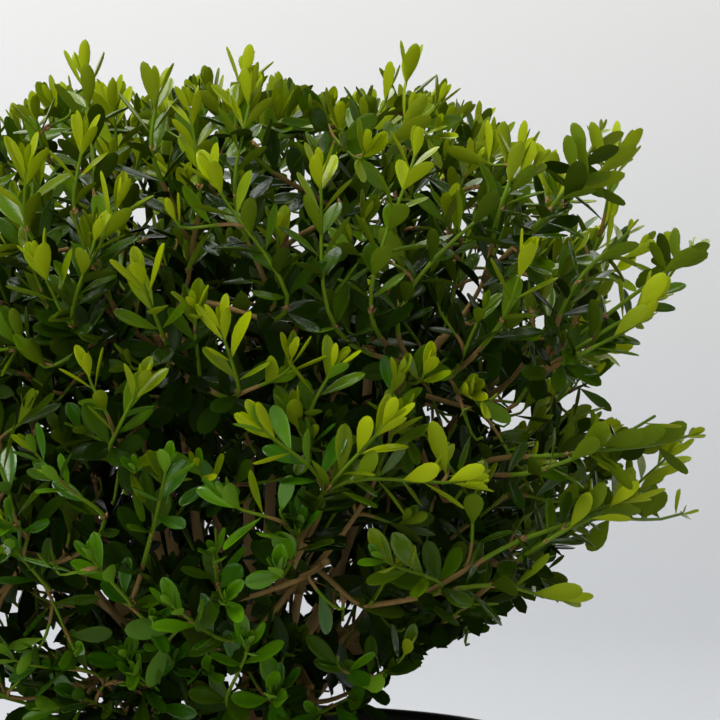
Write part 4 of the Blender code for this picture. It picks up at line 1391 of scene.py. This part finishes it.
def make_chips():
    """Crumbs and bark chips that lie on the compost: squashed and turned twenty-sided grains."""
    rng = random.Random("chips")
    ball = bmesh.new()
    bmesh.ops.create_icosphere(ball, subdivisions=1, radius=1.0)
    form = np.array([tuple(vert.co) for vert in ball.verts])
    triangles = np.array([[vert.index for vert in face.verts] for face in ball.faces])
    ball.free()
    parts = []
    for _ in range(CHIPS):
        away = CHIP_EDGE * math.sqrt(rng.random())
        angle = rng.uniform(0.0, math.tau)
        if away < CHIP_INNER:
            continue
        long = rng.uniform(*(CHIP_SMALL if rng.random() < CHIP_SMALL_SHARE else CHIP_LARGE))
        size = np.array([long, long * rng.uniform(*CHIP_WIDE), long * rng.uniform(*CHIP_HIGH)])
        away = min(away, CHIP_OUTER - long)
        x, y = away * math.cos(angle), away * math.sin(angle)
        jag = np.array([1.0 + rng.uniform(-CHIP_JAG, CHIP_JAG) for _ in form])[:, None]
        turn = Matrix.Rotation(rng.uniform(0, math.tau), 3, "Z")
        for axis in "XY":
            turn = turn @ Matrix.Rotation(rng.gauss(0, CHIP_TILT), 3, axis)
        place = np.array([x, y, compost_height(x, y) + size[2] * CHIP_RISE])
        colour = rng.choices(range(4), CHIP_ODDS)[0]
        points = (form * jag * size) @ np.array(turn).T + place
        parts.append((points, triangles, np.full(len(triangles), colour)))
    materials = [surface(f"chip_{at}", rgb, *CHIP_FINISH) for at, rgb in enumerate(CHIP_COLOURS, 1)]
    return mesh_object("compost_chips", materials, *joined(parts))


pot = make_pot()
pot.data.materials.append(pot_material())
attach(pot, "root")
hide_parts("pot")
compost = make_compost()
compost.data.materials.append(surface("compost_peat", *SURFACES["compost_peat"]))
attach(compost, "root")
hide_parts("compost")
chips = make_chips()
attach(chips, "root")

# ---------------------------------------------------------------- stage, light and camera

STAGE_FLAT = 2.6  # radius of the level floor
STAGE_SWEEP = 2.2  # radius of the sweep from floor to wall
STAGE_TOP = 5.0
SWEEP_STEPS = 16
STAGE_SIDES = 96
WHITE = (1.0, 1.0, 1.0)
WARM = (1.0, 0.98, 0.90)
LAMPS = (  # name, place, aim, diameter, watts, colour
    ("key", (-0.9, -1.2, 2.5), (0.0, 0.0, 0.35), 1.5, 53.0, WARM),
    ("front", (-0.9, -1.8, 0.6), (0.0, 0.0, 0.3), 1.3, 8.5, WARM),
    ("top", (-0.3, 0.9, 2.6), (0.0, 0.0, 0.35), 1.8, 36.0, WHITE),
    ("wall", (-1.2, 1.8, 3.2), (-0.6, 4.7, 1.3), 2.0, 86.0, WHITE),
)
WORLD_LIGHT = 0.21


def stage_bowl():
    """A round level floor that sweeps up to a wall."""
    profile = [(0.0, 0.0, 0.0)]
    for step in range(SWEEP_STEPS + 1):
        angle = math.radians(90.0 * step / SWEEP_STEPS)
        away = STAGE_FLAT + STAGE_SWEEP * math.sin(angle)
        profile.append((away, 0.0, STAGE_SWEEP * (1.0 - math.cos(angle))))
    profile.append((STAGE_FLAT + STAGE_SWEEP, 0.0, STAGE_TOP))
    mesh = bpy.data.meshes.new("backdrop")
    mesh.from_pydata(profile, list(pairwise(range(len(profile)))), [])
    item = add_object("backdrop", mesh)
    screw = item.modifiers.new("turn", "SCREW")
    screw.steps = screw.render_steps = STAGE_SIDES
    screw.use_merge_vertices = True
    return item


def add_lamp(name, place, goal, size, power, colour):
    lamp = bpy.data.lights.new(name, "AREA")
    lamp.shape = "DISK"
    lamp.size = size
    lamp.energy = power
    lamp.color = colour
    item = add_object(name, lamp)
    item.location = place
    item.rotation_mode = "QUATERNION"
    item.rotation_quaternion = (Vector(goal) - Vector(place)).to_track_quat("-Z", "Y")
    item.visible_camera = False


backdrop = stage_bowl()
backdrop.data.materials.append(paper())
for lamp in LAMPS:
    add_lamp(*lamp)
world = bpy.data.worlds.new("studio")
world.use_nodes = True
world.node_tree.nodes["Background"].inputs["Color"].default_value = (*WHITE, 1.0)
world.node_tree.nodes["Background"].inputs["Strength"].default_value = WORLD_LIGHT
bpy.context.scene.world = world

lens = bpy.data.cameras.new("camera")
lens.lens = LENS
lens.sensor_width = FILM
lens.clip_start = 0.01
lens.clip_end = 50.0
camera = add_object("camera", lens)
camera.location = EYE
camera.rotation_euler = (math.radians(90.0), 0.0, 0.0)
bpy.context.scene.camera = camera
bpy.context.scene.view_settings.view_transform = "Standard"
